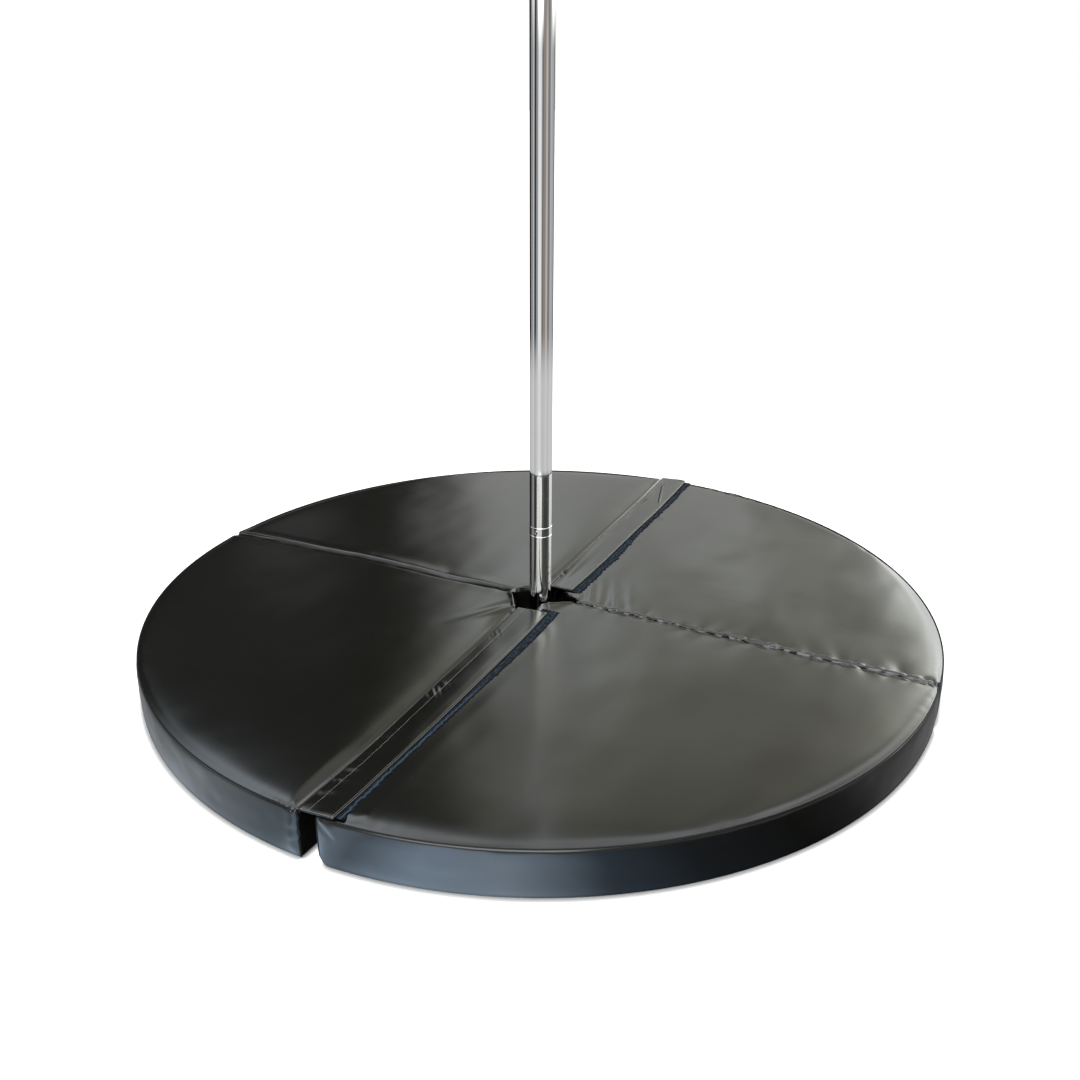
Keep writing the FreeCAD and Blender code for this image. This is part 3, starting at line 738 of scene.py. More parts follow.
class PadShell:
    """The mesh of one quarter, laid out in rings and grids so that seams can be found again."""

    def __init__(self, quarter, sizes):
        self.quarter = quarter
        self.side, self.end = QUARTERS[quarter]
        self.sizes = sizes
        path, corners = edge_path(quarter, sizes)
        ahead = np.roll(path, -3, axis=0) - np.roll(path, 3, axis=0)
        ahead /= np.hypot(*ahead.T)[:, None]
        outward = np.stack([ahead[:, 1], -ahead[:, 0]], 1)
        fractions = graded_fractions(GRID_CELLS)
        rows = []
        normals = []
        for first, last in zip(corners, corners[1:] + corners[:1]):
            span = np.arange(first, last + 1 if last > first else last + 1 + len(path)) % len(path)
            run = run_length(path[span])
            at = (fractions if len(rows) < 2 else 1 - fractions[::-1]) * run[-1]
            rows.append(sampled(path[span], run, at)[:-1])
            normals.append(sampled(outward[span], run, at)[:-1])
        self.ring = np.concatenate(rows)
        self.normal = np.concatenate(normals)
        self.normal /= np.hypot(*self.normal.T)[:, None]
        self.inner = self.ring - self.normal * sizes.edge
        n = GRID_CELLS
        closed = np.concatenate([self.inner, self.inner[:1]])
        bottom, right, top, left = (closed[k * n : (k + 1) * n + 1] for k in range(4))
        self.grid = patch((bottom, right, top[::-1], left[::-1]), fractions)
        self.kind = self.ring_side()
        self.build()

    def ring_side(self):
        """Which edge each ring point is on: 0 hole, 1 crease, 2 rim, 3 split."""
        n = GRID_CELLS
        kind = np.repeat([1, 2, 2, 3], n)
        hole = HOLE_EDGES[self.quarter]
        kind[:n][self.ring[:n, 0] < hole[0][0]] = 0
        kind[3 * n :][self.ring[3 * n :, 1] < hole[-1][1]] = 0
        return kind

    def profile(self, height):
        """Rings from the top down: place out of the grid, height, and share of the wall's crown."""
        edge = self.sizes.edge
        turns = [math.radians(angle) for angle in EDGE_ARC]
        rounding = [(edge * math.sin(turn), edge * (1 - math.cos(turn))) for turn in turns]
        rows = [(offset, height - drop, 0.0) for offset, drop in rounding]
        rows += [(edge, z, 1 - (2 * z / self.sizes.height - 1) ** 2) for z in WALL_HEIGHTS]
        return rows + [(offset, drop, 0.0) for offset, drop in rounding[::-1]]

    def build(self):
        """Top grid, rings down the walls and floor grid, with their faces."""
        kind = self.kind
        size = GRID_CELLS + 1
        height = self.sizes.height - self.sizes.slack
        index = np.arange(size * size).reshape(size, size)
        around = border(index)
        flat_grid = self.grid.reshape(-1, 2)
        points = [np.column_stack([flat_grid, np.full(size * size, height)])]
        loops = [around]
        profile = self.profile(height)
        self.foot_step = len(profile) - 1
        count = size * size
        along = self.ring[:, 1]
        start, stop = ZIP_RUN
        in_zip = grade(along, start - 0.004, start) - grade(along, stop, stop + 0.004)
        in_zip = np.where(kind == 3, in_zip, 0.0)
        # A low share keeps that edge's top ring up, so that its corner is square.
        square = np.where(kind == 1, 0.4 if self.side > 0 else 0.8, 1.0)
        square = np.where((kind == 3) & (self.side < 0), 0.62, square)
        square = sum(np.roll(square, shift) for shift in range(-2, 3)) / 5.0
        for step, (offset, z, middle) in enumerate(profile, 1):
            push = np.full(len(self.ring), offset)
            push += np.where(kind == 2, middle * BAND_CROWN, 0.0)
            if ZIP_BAND[0] < z < ZIP_BAND[1]:
                push -= in_zip * ZIP_DEPTH
            if step == SEAM_RING:
                push = push - SEAM_DEPTH
            flat = self.inner + self.normal * push[:, None]
            rise = height - (height - z) * square if step <= len(EDGE_ARC) else np.full(len(flat), z)
            points.append(np.column_stack([flat, rise]))
            loops.append(np.arange(count, count + len(flat)))
            count += len(flat)
        points.append(np.column_stack([flat_grid, np.zeros(size * size)]))
        low = index + count
        loops.append(around + count)
        faces = []
        for i in range(GRID_CELLS):
            for j in range(GRID_CELLS):
                faces.append((index[i, j], index[i + 1, j], index[i + 1, j + 1], index[i, j + 1]))
                faces.append((low[i, j], low[i, j + 1], low[i + 1, j + 1], low[i + 1, j]))
        for upper, lower in zip(loops, loops[1:]):
            faces += zip(upper, lower, np.roll(lower, -1), np.roll(upper, -1))
        self.points = np.concatenate(points)
        self.faces = [tuple(int(v) for v in face) for face in faces]
        self.loops = loops
        self.low = low

    def hole_lip(self, across, along):
        """Height, 0 to 1, of the rolled lip round the hole."""
        lip = np.zeros(len(across))
        near = np.hypot(across, along) < 0.12
        edge = self.ring[self.kind == 0]
        gap = np.hypot(across[near, None] - edge[None, :, 0], along[near, None] - edge[None, :, 1])
        lip[near] = bell(gap.min(axis=1) - 0.006, 0.0045)
        return lip

    def pins(self):
        """Points that the seams, the floor and the neighbouring pads hold still."""
        held = set(self.low.ravel().tolist())
        for step, loop in enumerate(self.loops):
            for k, point in enumerate(loop):
                tight = self.kind[k] != 2 and step >= SEAM_RING
                if step in (SEAM_RING, self.foot_step) or tight or step > self.foot_step:
                    held.add(int(point))
        return sorted(held)

    def world(self, points):
        """Points of the quarter's own axes in those of the scene."""
        return points * np.array([self.side, self.end, 1.0])

    def object(self):
        """The cover as an object, its faces turned over where the quarter is a mirrored one."""
        faces = self.faces
        if self.side * self.end < 0:
            faces = [face[::-1] for face in faces]
        return mesh_object(self.quarter + "_pad", self.world(self.points), faces)


def puff(obj, pinned, furthest):
    """Blows a cover up over its foam with cloth under pressure, then holds back its travel."""
    before = read_points(obj)
    group = obj.vertex_groups.new(name="held")
    group.add(pinned, 1.0, "REPLACE")
    cloth = obj.modifiers.new("Cloth", "CLOTH")
    settings = cloth.settings
    settings.vertex_group_mass = "held"
    settings.use_pressure = True
    settings.uniform_pressure_force = 4.0
    settings.effector_weights.gravity = 0.0
    settings.quality = 4
    settings.mass = 0.3
    settings.tension_stiffness = 22.0
    settings.compression_stiffness = 22.0
    settings.shear_stiffness = 9.0
    settings.bending_stiffness = 1.5
    cloth.collision_settings.use_collision = False
    cloth.point_cache.frame_start = 1
    cloth.point_cache.frame_end = PUFF_FRAMES
    for step in range(1, PUFF_FRAMES + 1):
        bpy.context.scene.frame_set(step)
    settle(obj)
    bpy.context.scene.frame_set(1)
    move = read_points(obj) - before
    travel = np.linalg.norm(move, axis=1)
    kept = furthest * travel / (furthest * 0.6 + travel)
    move *= (kept / np.maximum(travel, 1e-9))[:, None]
    write_points(obj, before + move)


def gathers(rng, start, stop, spacing):
    """Random places, depths and lengths of the gathers along a tight seam."""
    made = []
    place = start
    while place < stop:
        made.append((place, rng.uniform(0.35, 1.0), rng.uniform(0.005, 0.009),
                     rng.uniform(0.01, 0.042), rng.uniform(-0.6, 0.6)))
        place += rng.uniform(*spacing)
    return made


def seam_gathers(along, off, made, depth):
    """Height of gathers that run off a seam: along it and off it in metres."""
    height = np.zeros(len(along))
    near = off < 0.14
    for place, share, width, reach, lean in made:
        shape = bell(along - place - lean * off, width + 0.25 * off)
        height[near] -= (depth * share * shape * np.exp(-off / reach))[near]
    return height


def pillows(rng, along, off, start, stop, spacing):
    """Small pillows between the stitches of a tight seam, in a row beside it."""
    places = [start]
    while places[-1] < stop:
        places.append(places[-1] + rng.uniform(*spacing))
    heights = np.array([rng.uniform(0.25, 1.0) for _ in places])
    depths = np.array([rng.uniform(0.0035, 0.0065) for _ in places])
    cell = np.clip(np.searchsorted(places, along) - 1, 0, len(places) - 2)
    places = np.array(places)
    share = np.clip((along - places[cell]) / (places[cell + 1] - places[cell]), 0.0, 1.0)
    return (4 * share * (1 - share)) ** 0.7 * heights[cell] * bell(off - depths[cell], 0.0042)


def dress_left(shell, across, along, crease_off, split_off, rim_off, rng):
    """Seams and creases of the two left quarters, which are pulled flat."""
    made = gathers(rng, 0.08, 0.74, (0.05, 0.12))
    lift = seam_gathers(across, crease_off, made, shell.sizes.pucker * 0.35)
    roll = (0.0030 if shell.end > 0 else 0.0004) * (1.0 - 0.75 * bell(across - 0.2, 0.05))
    lift += roll * bell(crease_off - 0.0085, np.where(crease_off < 0.0085, 0.006, 0.02))
    lift += 0.0009 * bell(split_off - 0.007, 0.006) * grade(along, 0.05, 0.12)
    if shell.end > 0:
        return lift
    pulled = grade(along, 0.55, 0.66) + 0.9 * (1 - grade(along, 0.08, 0.19))
    lift -= 0.0046 * pulled * (1 - np.clip(split_off / 0.032, 0, 1)) ** 1.5
    corner = np.hypot(across - 0.0195, along - 0.7495)
    wave = np.sin(rim_off * 40.0 + across * 620.0) + 0.6 * np.sin(across * 1010.0 + 1.0)
    lift += 0.0015 * wave * bell(corner, 0.04) * bell(rim_off, 0.01)
    fold = (across - 0.034) * 0.86 - (along - 0.06) * 0.5
    reach = bell(along - 0.075, 0.06)
    lift += 0.0016 * bell(fold, 0.007) * reach
    lift -= 0.0012 * bell(fold - 0.016, 0.009) * reach
    return lift


def dress_right(shell, across, along, crease_off, rim_off, rng):
    """Seams and creases of the two right quarters, which are gathered on their fold."""
    made = gathers(rng, 0.072, 0.745, (0.015, 0.045))
    lift = seam_gathers(across, crease_off, made, shell.sizes.pucker * 1.35)
    lift += 0.0032 * pillows(rng, across, crease_off, 0.06, 0.75, (0.011, 0.026))
    lift -= 0.0012 * bell(crease_off, 0.0035)
    if shell.end > 0:
        for place, share in STROKES:
            stroke = bell(across - place + crease_off * 0.36, 0.006)
            lift += 0.0012 * share * stroke * bell(crease_off - 0.06, 0.05)
        for place in STRIP_BUMPS:
            lift += 0.003 * bump_at(across, along, place, (0.0045, 0.013))
        turn = np.degrees(np.arctan2(along, across))
        ragged = fractal(np.column_stack([across, along, along * 0]), 85.0, 77)
        lift += 0.0022 * (ragged * bell(turn - 76.0, 8.0)) * bell(rim_off, 0.016)
    else:
        lift += 0.004 * bump_at(across, along, (0.018, 0.022), (0.02, 0.024))
        ridge = (across - 0.045) + (along - 0.02) * 0.55
        lift += 0.001 * bell(ridge, 0.012) * bell(along, 0.05)
        lift += 0.0012 * bump_at(across, along, (0.075, 0.72), (0.012, 0.012))
    return lift


def round_low_corner(across, along, z, edge, size):
    """Rounds the bottom of a quarter's corner at the rim, where the foam doesn't fill it."""
    fade = 1.0 - grade(0.748 - along, 0.0, 0.07)
    wide, high = (np.maximum(reach * fade, 1e-6) for reach in size)
    inset = (wide - (across - edge)) / wide
    below = (high - z) / high
    reach = np.hypot(inset, below)
    out = (inset > 0) & (below > 0) & (reach > 1)
    scale = np.where(out, 1.0 / np.maximum(reach, 1e-6), 1.0)
    across = np.where(out, edge + wide * (1 - inset * scale), across)
    return across, np.where(out, high * (1 - below * scale), z)


def leave_fold_room(along, z):
    """Holds a left quarter's top at the plane where the other one lies when folded over."""
    room = FOLD_HEIGHT + math.tan(FOLD_HALF_ANGLE) * along + FOLD_SOFTNESS
    over = np.clip((z - room) / FOLD_SOFTNESS, -30.0, 30.0)
    return z - FOLD_SOFTNESS * np.log1p(np.exp(over))


def dress_front_corner(quarter, across, along, z):
    """Corners at the front split: the right one hangs soft and creased, the left one is drawn in."""
    if quarter == "right_front":
        across, z = round_low_corner(across, along, z, 0.0097, (0.023, 0.037))
        run = (across - 0.0115) * 0.75 - (z - 0.078) * 0.66
        off = (across - 0.0115) * 0.66 + (z - 0.078) * 0.75
        reach = grade(run, -0.004, 0.006) * (1 - grade(run, 0.024, 0.042)) * (along > 0.72)
        along = along - 0.0016 * reach * bell(off, 0.0045)
        along = along + 0.0009 * reach * bell(off - 0.009, 0.005)
    if quarter == "left_front":
        across, z = round_low_corner(across, along, z, 0.0192, (0.006, 0.009))
        uneven = 0.75 + 0.25 * np.sin(z * 300.0 + across * 90.0)
        swell = 0.0022 * bell(across - 0.0315, 0.0095) * uneven
        on_wall = grade(z, 0.0, 0.02) * (1.0 - grade(z, 0.07, 0.0885))
        along = along + swell * grade(along, 0.73, 0.742) * on_wall
        near = bell(np.hypot(across - 0.0205, along - 0.7485), 0.009)
        wave = np.sin(z * 430.0) * 0.0008 + np.sin(z * 250.0 + 1.0) * 0.0007
        across = across + wave * near * grade(z, 0.004, 0.02)
    return across, along, z


def dress_pad(shell, points):
    """Adds what sewing does to the puffed cover: gathers, lips, slow waves and soft corners."""
    sizes = shell.sizes
    side, end, quarter = shell.side, shell.end, shell.quarter
    across = points[:, 0] * side
    along = points[:, 1] * end
    z = points[:, 2].copy()
    crease_off = along - end * crease_line(side, across)
    split_off = across - look_up(SPLIT_LINES[quarter], along)
    rim_off = sizes.radius - np.hypot(across, along)
    top = grade(z, sizes.height - 0.009, sizes.height - 0.003)
    seed = 1 + list(QUARTERS).index(quarter)
    rng = random.Random(seed * 11)
    slow = fractal(points * np.array([1.0, 0.7, 1.0]), 7.0, seed)
    quick = fractal(points * np.array([1.0, 0.6, 1.0]), 19.0, seed + 5)
    lift = (slow * 1.2 + quick * 0.3) * sizes.ripple * grade(rim_off, 0.0, 0.05)
    lift = lift * RESTLESS.get(quarter, 1.0)
    if side > 0:
        lift += dress_right(shell, across, along, crease_off, rim_off, rng)
    else:
        lift += dress_left(shell, across, along, crease_off, split_off, rim_off, rng)
    lift += (0.001 if side > 0 else 0.0017) * shell.hole_lip(across, along)
    taut = 0.85 * bell(crease_off, 0.05) * grade(rim_off, 0.0, 0.04)
    z += (sizes.height + 0.0013 - z) * taut * grade(z, sizes.height - 0.0042, sizes.height - 0.0018)
    if quarter == "left_rear":
        lift -= 0.0011 * bell(crease_off, 0.024)
    z += lift * top
    if side < 0:
        z = leave_fold_room(along, z)
    else:
        strip_edge = look_up(FLAPS["rear" if end > 0 else "front"]["strip"], along)
        under_strip = 1.0 - grade(across - strip_edge, -0.004, 0.03)
        inner_end = 0.05 if end > 0 else 0.058
        reach = grade(along, inner_end - 0.022, inner_end)
        z = z + (np.minimum(z, STRIP_BED) - z) * under_strip * top * reach
        across = across - 0.003 * (bell(crease_off, 0.011) * grade(0.03 - rim_off, 0.0, 0.03))
    across, along, z = dress_front_corner(quarter, across, along, z)
    on_band = (1.0 - grade(rim_off, 0.001, 0.003)) * grade(z, 0.004, 0.02)
    on_band *= 1.0 - grade(z, 0.07, 0.084)
    wave = fractal(np.column_stack([across * side, along * end, z * 2.2]), 13.0, seed + 9)
    wave += 0.4 * fractal(np.column_stack([across * side, along * end, z * 1.2]), 36.0, seed + 19)
    outward = 1.0 + on_band * wave * BAND_WAVE / sizes.radius
    wear = np.exp(-np.minimum(np.minimum(crease_off, split_off), rim_off).clip(0) / 0.004)
    return np.column_stack([across * outward * side, along * outward * end, z]), wear * top


def cord_mesh(name, path, radius, sides=8):
    """Round cord along a path, with closed ends."""
    ahead = np.gradient(path, axis=0)
    ahead /= np.linalg.norm(ahead, axis=1)[:, None]
    upright = abs(ahead[:, 2]).mean() > 0.7
    across = np.cross(ahead, [1.0, 0.0, 0.0] if upright else [0.0, 0.0, 1.0])
    across /= np.linalg.norm(across, axis=1)[:, None]
    lift = np.cross(across, ahead)
    rings = []
    for turn in np.linspace(0, 2 * math.pi, sides, endpoint=False):
        rings.append(path + radius * (math.cos(turn) * across + math.sin(turn) * lift))
    points = np.stack(rings, 1).reshape(-1, 3)
    last = (len(path) - 1) * sides
    ends = [tuple(range(sides))[::-1], tuple(range(last, last + sides))]
    return solid(name, points, ring_faces(len(path), sides) + ends)


def strip_mesh(name, rows, thickness):
    """Thin sheet from a grid of top points, given its thickness downwards."""
    rows = np.asarray(rows, float)
    high, wide = rows.shape[:2]
    top = rows.reshape(-1, 3)
    index = np.arange(high * wide).reshape(high, wide)
    shift = high * wide
    faces = []
    for i in range(high - 1):
        for j in range(wide - 1):
            quad = (index[i, j], index[i + 1, j], index[i + 1, j + 1], index[i, j + 1])
            faces.append(quad)
            faces.append(tuple(v + shift for v in quad[::-1]))
    around = border(index)
    faces += [(b, a, a + shift, b + shift) for a, b in zip(around, np.roll(around, -1))]
    faces = [tuple(int(v) for v in face) for face in faces]
    return solid(name, np.concatenate([top, top - np.array([0.0, 0.0, thickness])]), faces)


def run_nodes(obj, make, values):
    """Runs a Geometry Nodes pattern on an object, with its named inputs, and keeps the plain mesh."""
    name = make.__name__
    if name not in bpy.data.node_groups:
        make(Pattern(name, values))
    tree = bpy.data.node_groups[name]
    modifier = obj.modifiers.new("Pattern", "NODES")
    modifier.node_group = tree
    for item in tree.interface.items_tree:
        if item.name in values:
            modifier[item.identifier] = values[item.name]
    settle(obj)
    shade(obj)


class Pattern(Tree):
    """A Geometry Nodes tree with an input for each value, ending in Set Material."""

    KINDS = {float: "Float", int: "Int", tuple: "Vector", bpy.types.Material: "Material"}

    def __init__(self, name, values):
        group = bpy.data.node_groups.new(name, "GeometryNodeTree")
        super().__init__(group)
        group.interface.new_socket("Geometry", in_out="INPUT", socket_type="NodeSocketGeometry")
        for label, value in values.items():
            kind = "NodeSocket" + self.KINDS[type(value)]
            group.interface.new_socket(label, in_out="INPUT", socket_type=kind)
        group.interface.new_socket("Geometry", in_out="OUTPUT", socket_type="NodeSocketGeometry")
        self.start = self.node("NodeGroupInput")

    def input(self, name):
        return self.out(self.start, name)

    def along_line(self):
        """Points at a steady pitch along the edges of a line mesh."""
        curve = self.node("GeometryNodeMeshToCurve", None, {"Mesh": self.input("Geometry")})
        inputs = {"Curve": curve, "Length": self.input("Pitch")}
        return self.node("GeometryNodeCurveToPoints", {"mode": "LENGTH"}, inputs)

    def copies(self, points, instance, **inputs):
        inputs = {"Points": points, "Instance": instance, **inputs}
        return self.node("GeometryNodeInstanceOnPoints", None, inputs)

    def finish(self, geometry):
        real = self.node("GeometryNodeRealizeInstances", None, {"Geometry": geometry})
        inputs = {"Geometry": real, "Material": self.input("Material")}
        done = self.node("GeometryNodeSetMaterial", None, inputs)
        self.node("NodeGroupOutput", None, {"Geometry": done})


def stitch_run(t):
    """Stitches laid end to end along the edges of a line mesh."""
    dots = t.along_line()
    tangent = t.out(dots, "Tangent")
    turn = t.node("FunctionNodeAlignRotationToVector", {"axis": "X"}, {"Vector": tangent})
    ball = t.node("GeometryNodeMeshUVSphere", None, {"Segments": 6, "Rings": 4, "Radius": 0.5})
    thread = t.input("Thread")
    size = t.node("ShaderNodeCombineXYZ", None, {"X": t.input("Stitch"), "Y": thread, "Z": thread})
    t.finish(t.copies(dots, ball, Rotation=turn, Scale=size))


def loop_scatter(t):
    """Small wire loops scattered over a strip's top face, kept together with the strip."""
    base = t.input("Geometry")
    seed = t.input("Seed")
    upright = t.axes(t.node("GeometryNodeInputNormal"))[2]
    dots = t.node("GeometryNodeDistributePointsOnFaces", None, {
        "Mesh": base, "Selection": (upright * t.input("Facing")) > 0.8,
        "Density": t.input("Density"), "Seed": seed,
    })
    arc = t.node("GeometryNodeCurveArc", None, {
        "Resolution": 5, "Radius": t.input("Loop radius"),
        "Start Angle": math.radians(-25.0), "Sweep Angle": math.radians(230.0),
    })
    wire = t.node("GeometryNodeCurvePrimitiveCircle", None, {"Resolution": 3, "Radius": t.input("Wire")})
    bent = t.node("GeometryNodeCurveToMesh", None, {
        "Curve": arc, "Profile Curve": wire, "Fill Caps": True,
    })
    stood = t.node("GeometryNodeTransform", None, {
        "Geometry": bent, "Rotation": (math.radians(90.0), 0.0, 0.0),
    })
    spin = t.node("FunctionNodeRandomValue", {"data_type": "FLOAT_VECTOR"}, {
        "Min": (-0.7, -0.5, 0.0), "Max": (0.7, 0.5, 6.28), "Seed": seed,
    })
    grow = t.node("FunctionNodeRandomValue", {"data_type": "FLOAT"}, {2: 0.6, 3: 1.15}, 1)
    placed = t.copies(dots, stood, Rotation=spin, Scale=grow)
    joined = t.node("GeometryNodeJoinGeometry")
    for part in (base, placed):
        t.tree.links.new(part.socket, t.last.inputs[0])
    t.finish(joined)


def zip_teeth(t):
    """Zip teeth in two rows that mesh, along the edges of a line mesh."""
    dots = t.along_line()
    odd = t.maths("MODULO", t.node("GeometryNodeInputIndex"), 2.0)
    side = (odd - 0.5) * 2.0 * t.input("Stagger")
    shift = t.node("ShaderNodeCombineXYZ", None, {"Z": side})
    moved = t.node("GeometryNodeSetPosition", None, {"Geometry": dots, "Offset": shift})
    t.finish(t.copies(moved, t.node("GeometryNodeMeshCube", None, {"Size": t.input("Tooth")})))


def line_object(name, paths):
    """Loose edges along one or more paths, for the patterns that follow a line."""
    points = []
    edges = []
    for path in paths:
        edges += [(len(points) + i, len(points) + i + 1) for i in range(len(path) - 1)]
        points += list(path)
    return mesh_object(name, points, [], edges)


class POLEMAT_OT_stage(bpy.types.Operator):
    """Sets the camera, the pale floor, the studio light and what the gloss reflects"""

    bl_idname = "pole_mat.stage"
    bl_label = "Stage"

    def execute(self, context):
        studio = context.scene.mat_studio
        self.camera(context, studio)
        self.world(context, studio)
        self.floor()
        self.lamps(studio)
        context.scene.view_settings.view_transform = "Standard"
        return {"FINISHED"}

    def camera(self, context, studio):
        data = bpy.data.cameras.new("photo_camera")
        data.lens = studio.lens
        data.sensor_width = 36.0
        camera = add_object("photo_camera", data)
        turn = Matrix.Rotation(studio.camera_turn, 4, "Z")
        tilt = Matrix.Rotation(studio.camera_tilt, 4, "X")
        roll = Matrix.Rotation(studio.camera_roll, 4, "Z")
        camera.matrix_world = Matrix.Translation(studio.camera_place) @ turn @ tilt @ roll
        context.scene.camera = camera

    def world(self, context, studio):
        """Even light for the mat, panels for gloss to mirror and white behind it all."""
        world = bpy.data.worlds.new("studio_air")
        world.use_nodes = True
        context.scene.world = world
        t = Tree(world.node_tree)
        path = t.node("ShaderNodeLightPath", output="Is Camera Ray")
        glossy = t.out(path, "Is Glossy Ray")
        seen = t.maths("MAXIMUM", path, t.out(path, "Is Transmission Ray"))
        way = t.node("ShaderNodeTexCoord", output="Generated")
        x, y, z = t.axes(way)
        turn = t.turn(x, y)
        low = t.tones(panel_stops(LOW_PANELS), turn)
        high = t.tones(panel_stops(HIGH_PANELS), turn)
        capped = t.mix(1.0, high, (1.05, 1.05, 1.05, 1.0), "DARKEN")
        high = t.mix(z.ramp(0.5, 0.6), high, capped)
        high = t.mix(z.ramp(0.66, 0.84), high, WHITE)
        high = t.mix(1.0, high, t.tones(RISE_STOPS, z), "MULTIPLY")
        cloud = t.node("ShaderNodeTexNoise", None, {"Vector": way, "Scale": 8.0, "Detail": 2.0})
        cloud = t.mix(cloud.ramp(0.3, 0.7), (0.72, 0.72, 0.71, 1.0), (1.28, 1.28, 1.29, 1.0))
        high = t.mix(1.0, high, cloud, "MULTIPLY")
        for turned, raised, spread, extra in PATCHES:
            turned, raised, spread = (math.radians(value) for value in (turned, raised, spread))
            out = math.cos(raised)
            spot = (out * math.sin(turned), -out * math.cos(turned), math.sin(raised))
            settings = {"operation": "DOT_PRODUCT"}
            near = t.node("ShaderNodeVectorMath", settings, {0: way, 1: spot}, "Value")
            share = near.ramp(math.cos(spread), 0.9999)
            high = t.mix(share, high, t.mix(1.0, high, extra, "ADD"))
        room = t.mix(z.ramp(0.015, 0.1), low, high)
        dome, mirrored, white = (
            t.node("ShaderNodeBackground", None, {"Color": tone, "Strength": strength})
            for tone, strength in ((WHITE, studio.dome), (room, 1.0), (WHITE, 1.0))
        )
        both = t.mix_shaders(seen, t.mix_shaders(glossy, dome, mirrored), white)
        t.node("ShaderNodeOutputWorld", None, {"Surface": both})

    def floor(self):
        """White paper, which gloss sees as glowing panels like those of the world: painted light, dark
        under the mat as painted shade, with a painted contact shadow for the camera.
        """
        size = 30.0
        corners = [(-size, -size, 0), (size, -size, 0), (size, size, 0), (-size, size, 0)]
        floor = mesh_object("studio_floor", corners, [(0, 1, 2, 3)], smooth=False)
        f = Finish("floor_paper")
        path = f.node("ShaderNodeLightPath", output="Is Camera Ray")
        glossy = f.out(path, "Is Glossy Ray")
        across, along, _ = f.axes(f.place)
        away = f.maths("POWER", across * across + along * along, 0.5)
        turn = f.turn(across, along)
        low = f.tones(panel_stops(LOW_PANELS), turn)
        rim = f.tones([(0.5 + first / 360, (*tone, 1.0)) for first, tone in RIM_FLOOR_GLOW], turn)
        tone = f.mix(away.ramp(1.9, 2.9), f.mix(0.27, (0.71, 0.71, 0.72, 1.0), low), low)
        # Painted light: for gloss the paper glows in panel tones, and brightest round the rim, where the
        # side bands mirror it.
        tone = f.mix(1.0 - away.ramp(0.93, 1.03), tone, rim)
        # Painted shade: under the mat the glow drops to near black, so the hole and the gaps between the
        # pads mirror dark.
        tone = f.mix(1.0 - away.ramp(0.745, 0.757), tone, (0.012, 0.012, 0.013, 1.0))
        mirrored = f.node("ShaderNodeEmission", None, {"Color": tone, "Strength": 1.0})
        paper = f.node("ShaderNodeBsdfDiffuse", None, {"Color": (0.86, 0.86, 0.86, 1.0)})
        # Painted contact shadow: the glow that whitens the paper for the camera fades wherever the mat
        # stands within about a centimetre.
        open_sky = f.node("ShaderNodeAmbientOcclusion", {"samples": 12}, {"Distance": 0.013}, "AO")
        lift = f.node("ShaderNodeEmission", None, {"Strength": path * open_sky.ramp(0.5, 1.0)})
        lit = f.node("ShaderNodeAddShader", None, {0: paper, 1: lift})
        f.node("ShaderNodeOutputMaterial", None, {"Surface": f.mix_shaders(glossy, lit, mirrored)})
        floor.data.materials.append(f.material)

    def lamps(self, studio):
        """Softboxes that light the object, while the panels of the world are what gloss mirrors."""
        turn = math.radians(FRONT_LAMP_TURN)
        front = (3.1 * math.sin(turn), -3.1 * math.cos(turn), 1.4)
        for name, place, size, power in (
            ("front_softbox", front, (0.9, 1.6), studio.key),
            ("top_softbox", (0.6, 0.8, 3.2), (2.4, 2.4), studio.key * 0.5),
        ):
            data = bpy.data.lights.new(name, "AREA")
            data.shape = "RECTANGLE"
            data.size, data.size_y = size
            data.energy = power
            lamp = add_object(name, data)
            sight = Vector((0.0, 0.0, 0.2)) - Vector(place)
            aim = sight.to_track_quat("-Z", "Y").to_matrix().to_4x4()
            lamp.matrix_world = Matrix.Translation(place) @ aim
            lamp.visible_glossy = False


class POLEMAT_OT_pads(bpy.types.Operator):
    """Makes the four padded quarters, with their rim piping and corner seams"""

    bl_idname = "pole_mat.pads"
    bl_label = "Padded quarters"

    def execute(self, context):
        sizes = context.scene.mat_sizes
        for quarter in QUARTERS:
            shell = PadShell(quarter, sizes)
            pad = shell.object()
            puff(pad, shell.pins(), sizes.swell)
            modifier = pad.modifiers.new("Smooth", "SUBSURF")
            modifier.levels = 1
            modifier.render_levels = 1
            settle(pad)
            points, wear = dress_pad(shell, read_points(pad))
            write_points(pad, points)
            store(pad, "seam_wear", wear)
            shade(pad)
            finished(pad, quarter, "cover_vinyl")
            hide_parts(quarter + "_cover", quarter + "_foam")
            self.piping(shell, points, sizes)
            self.corner_seam(shell, points)
        return {"FINISHED"}

    def piping(self, shell, points, sizes):
        """Piping in the groove where the top panel meets the rim band."""
        path = points[shell.loops[SEAM_RING][GRID_CELLS : 3 * GRID_CELLS + 1]]
        reach = np.hypot(path[:, 0], path[:, 1])[:, None]
        away = np.column_stack([path[:, :2] / reach, np.zeros(len(path))])
        path = path + away * SEAM_DEPTH + np.array([0.0, 0.0, 0.0005])
        cord = cord_mesh(shell.quarter + "_rim_piping", path[2:-2], sizes.piping)
        finished(cord, shell.quarter, "piping_vinyl")
        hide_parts(shell.quarter + "_rim_welt")

    def corner_seam(self, shell, points):
        """Upright seam at the corner between the rim band and the split face."""
        corner = 3 * GRID_CELLS
        rings = shell.loops[SEAM_RING : shell.foot_step + 1]
        column = points[[loop[corner] for loop in rings]]
        heights = np.linspace(column[0][2], column[-1][2], 44)
        column = column[np.argsort(column[:, 2])]
        path = np.column_stack([sampled(column[:, :2], column[:, 2], heights), heights])
        path += shell.world(np.array([*shell.normal[corner], 0.0])) * 0.0002
        seam = cord_mesh(shell.quarter + "_corner_seam", path, 0.0013)
        finished(seam, shell.quarter, "piping_vinyl")


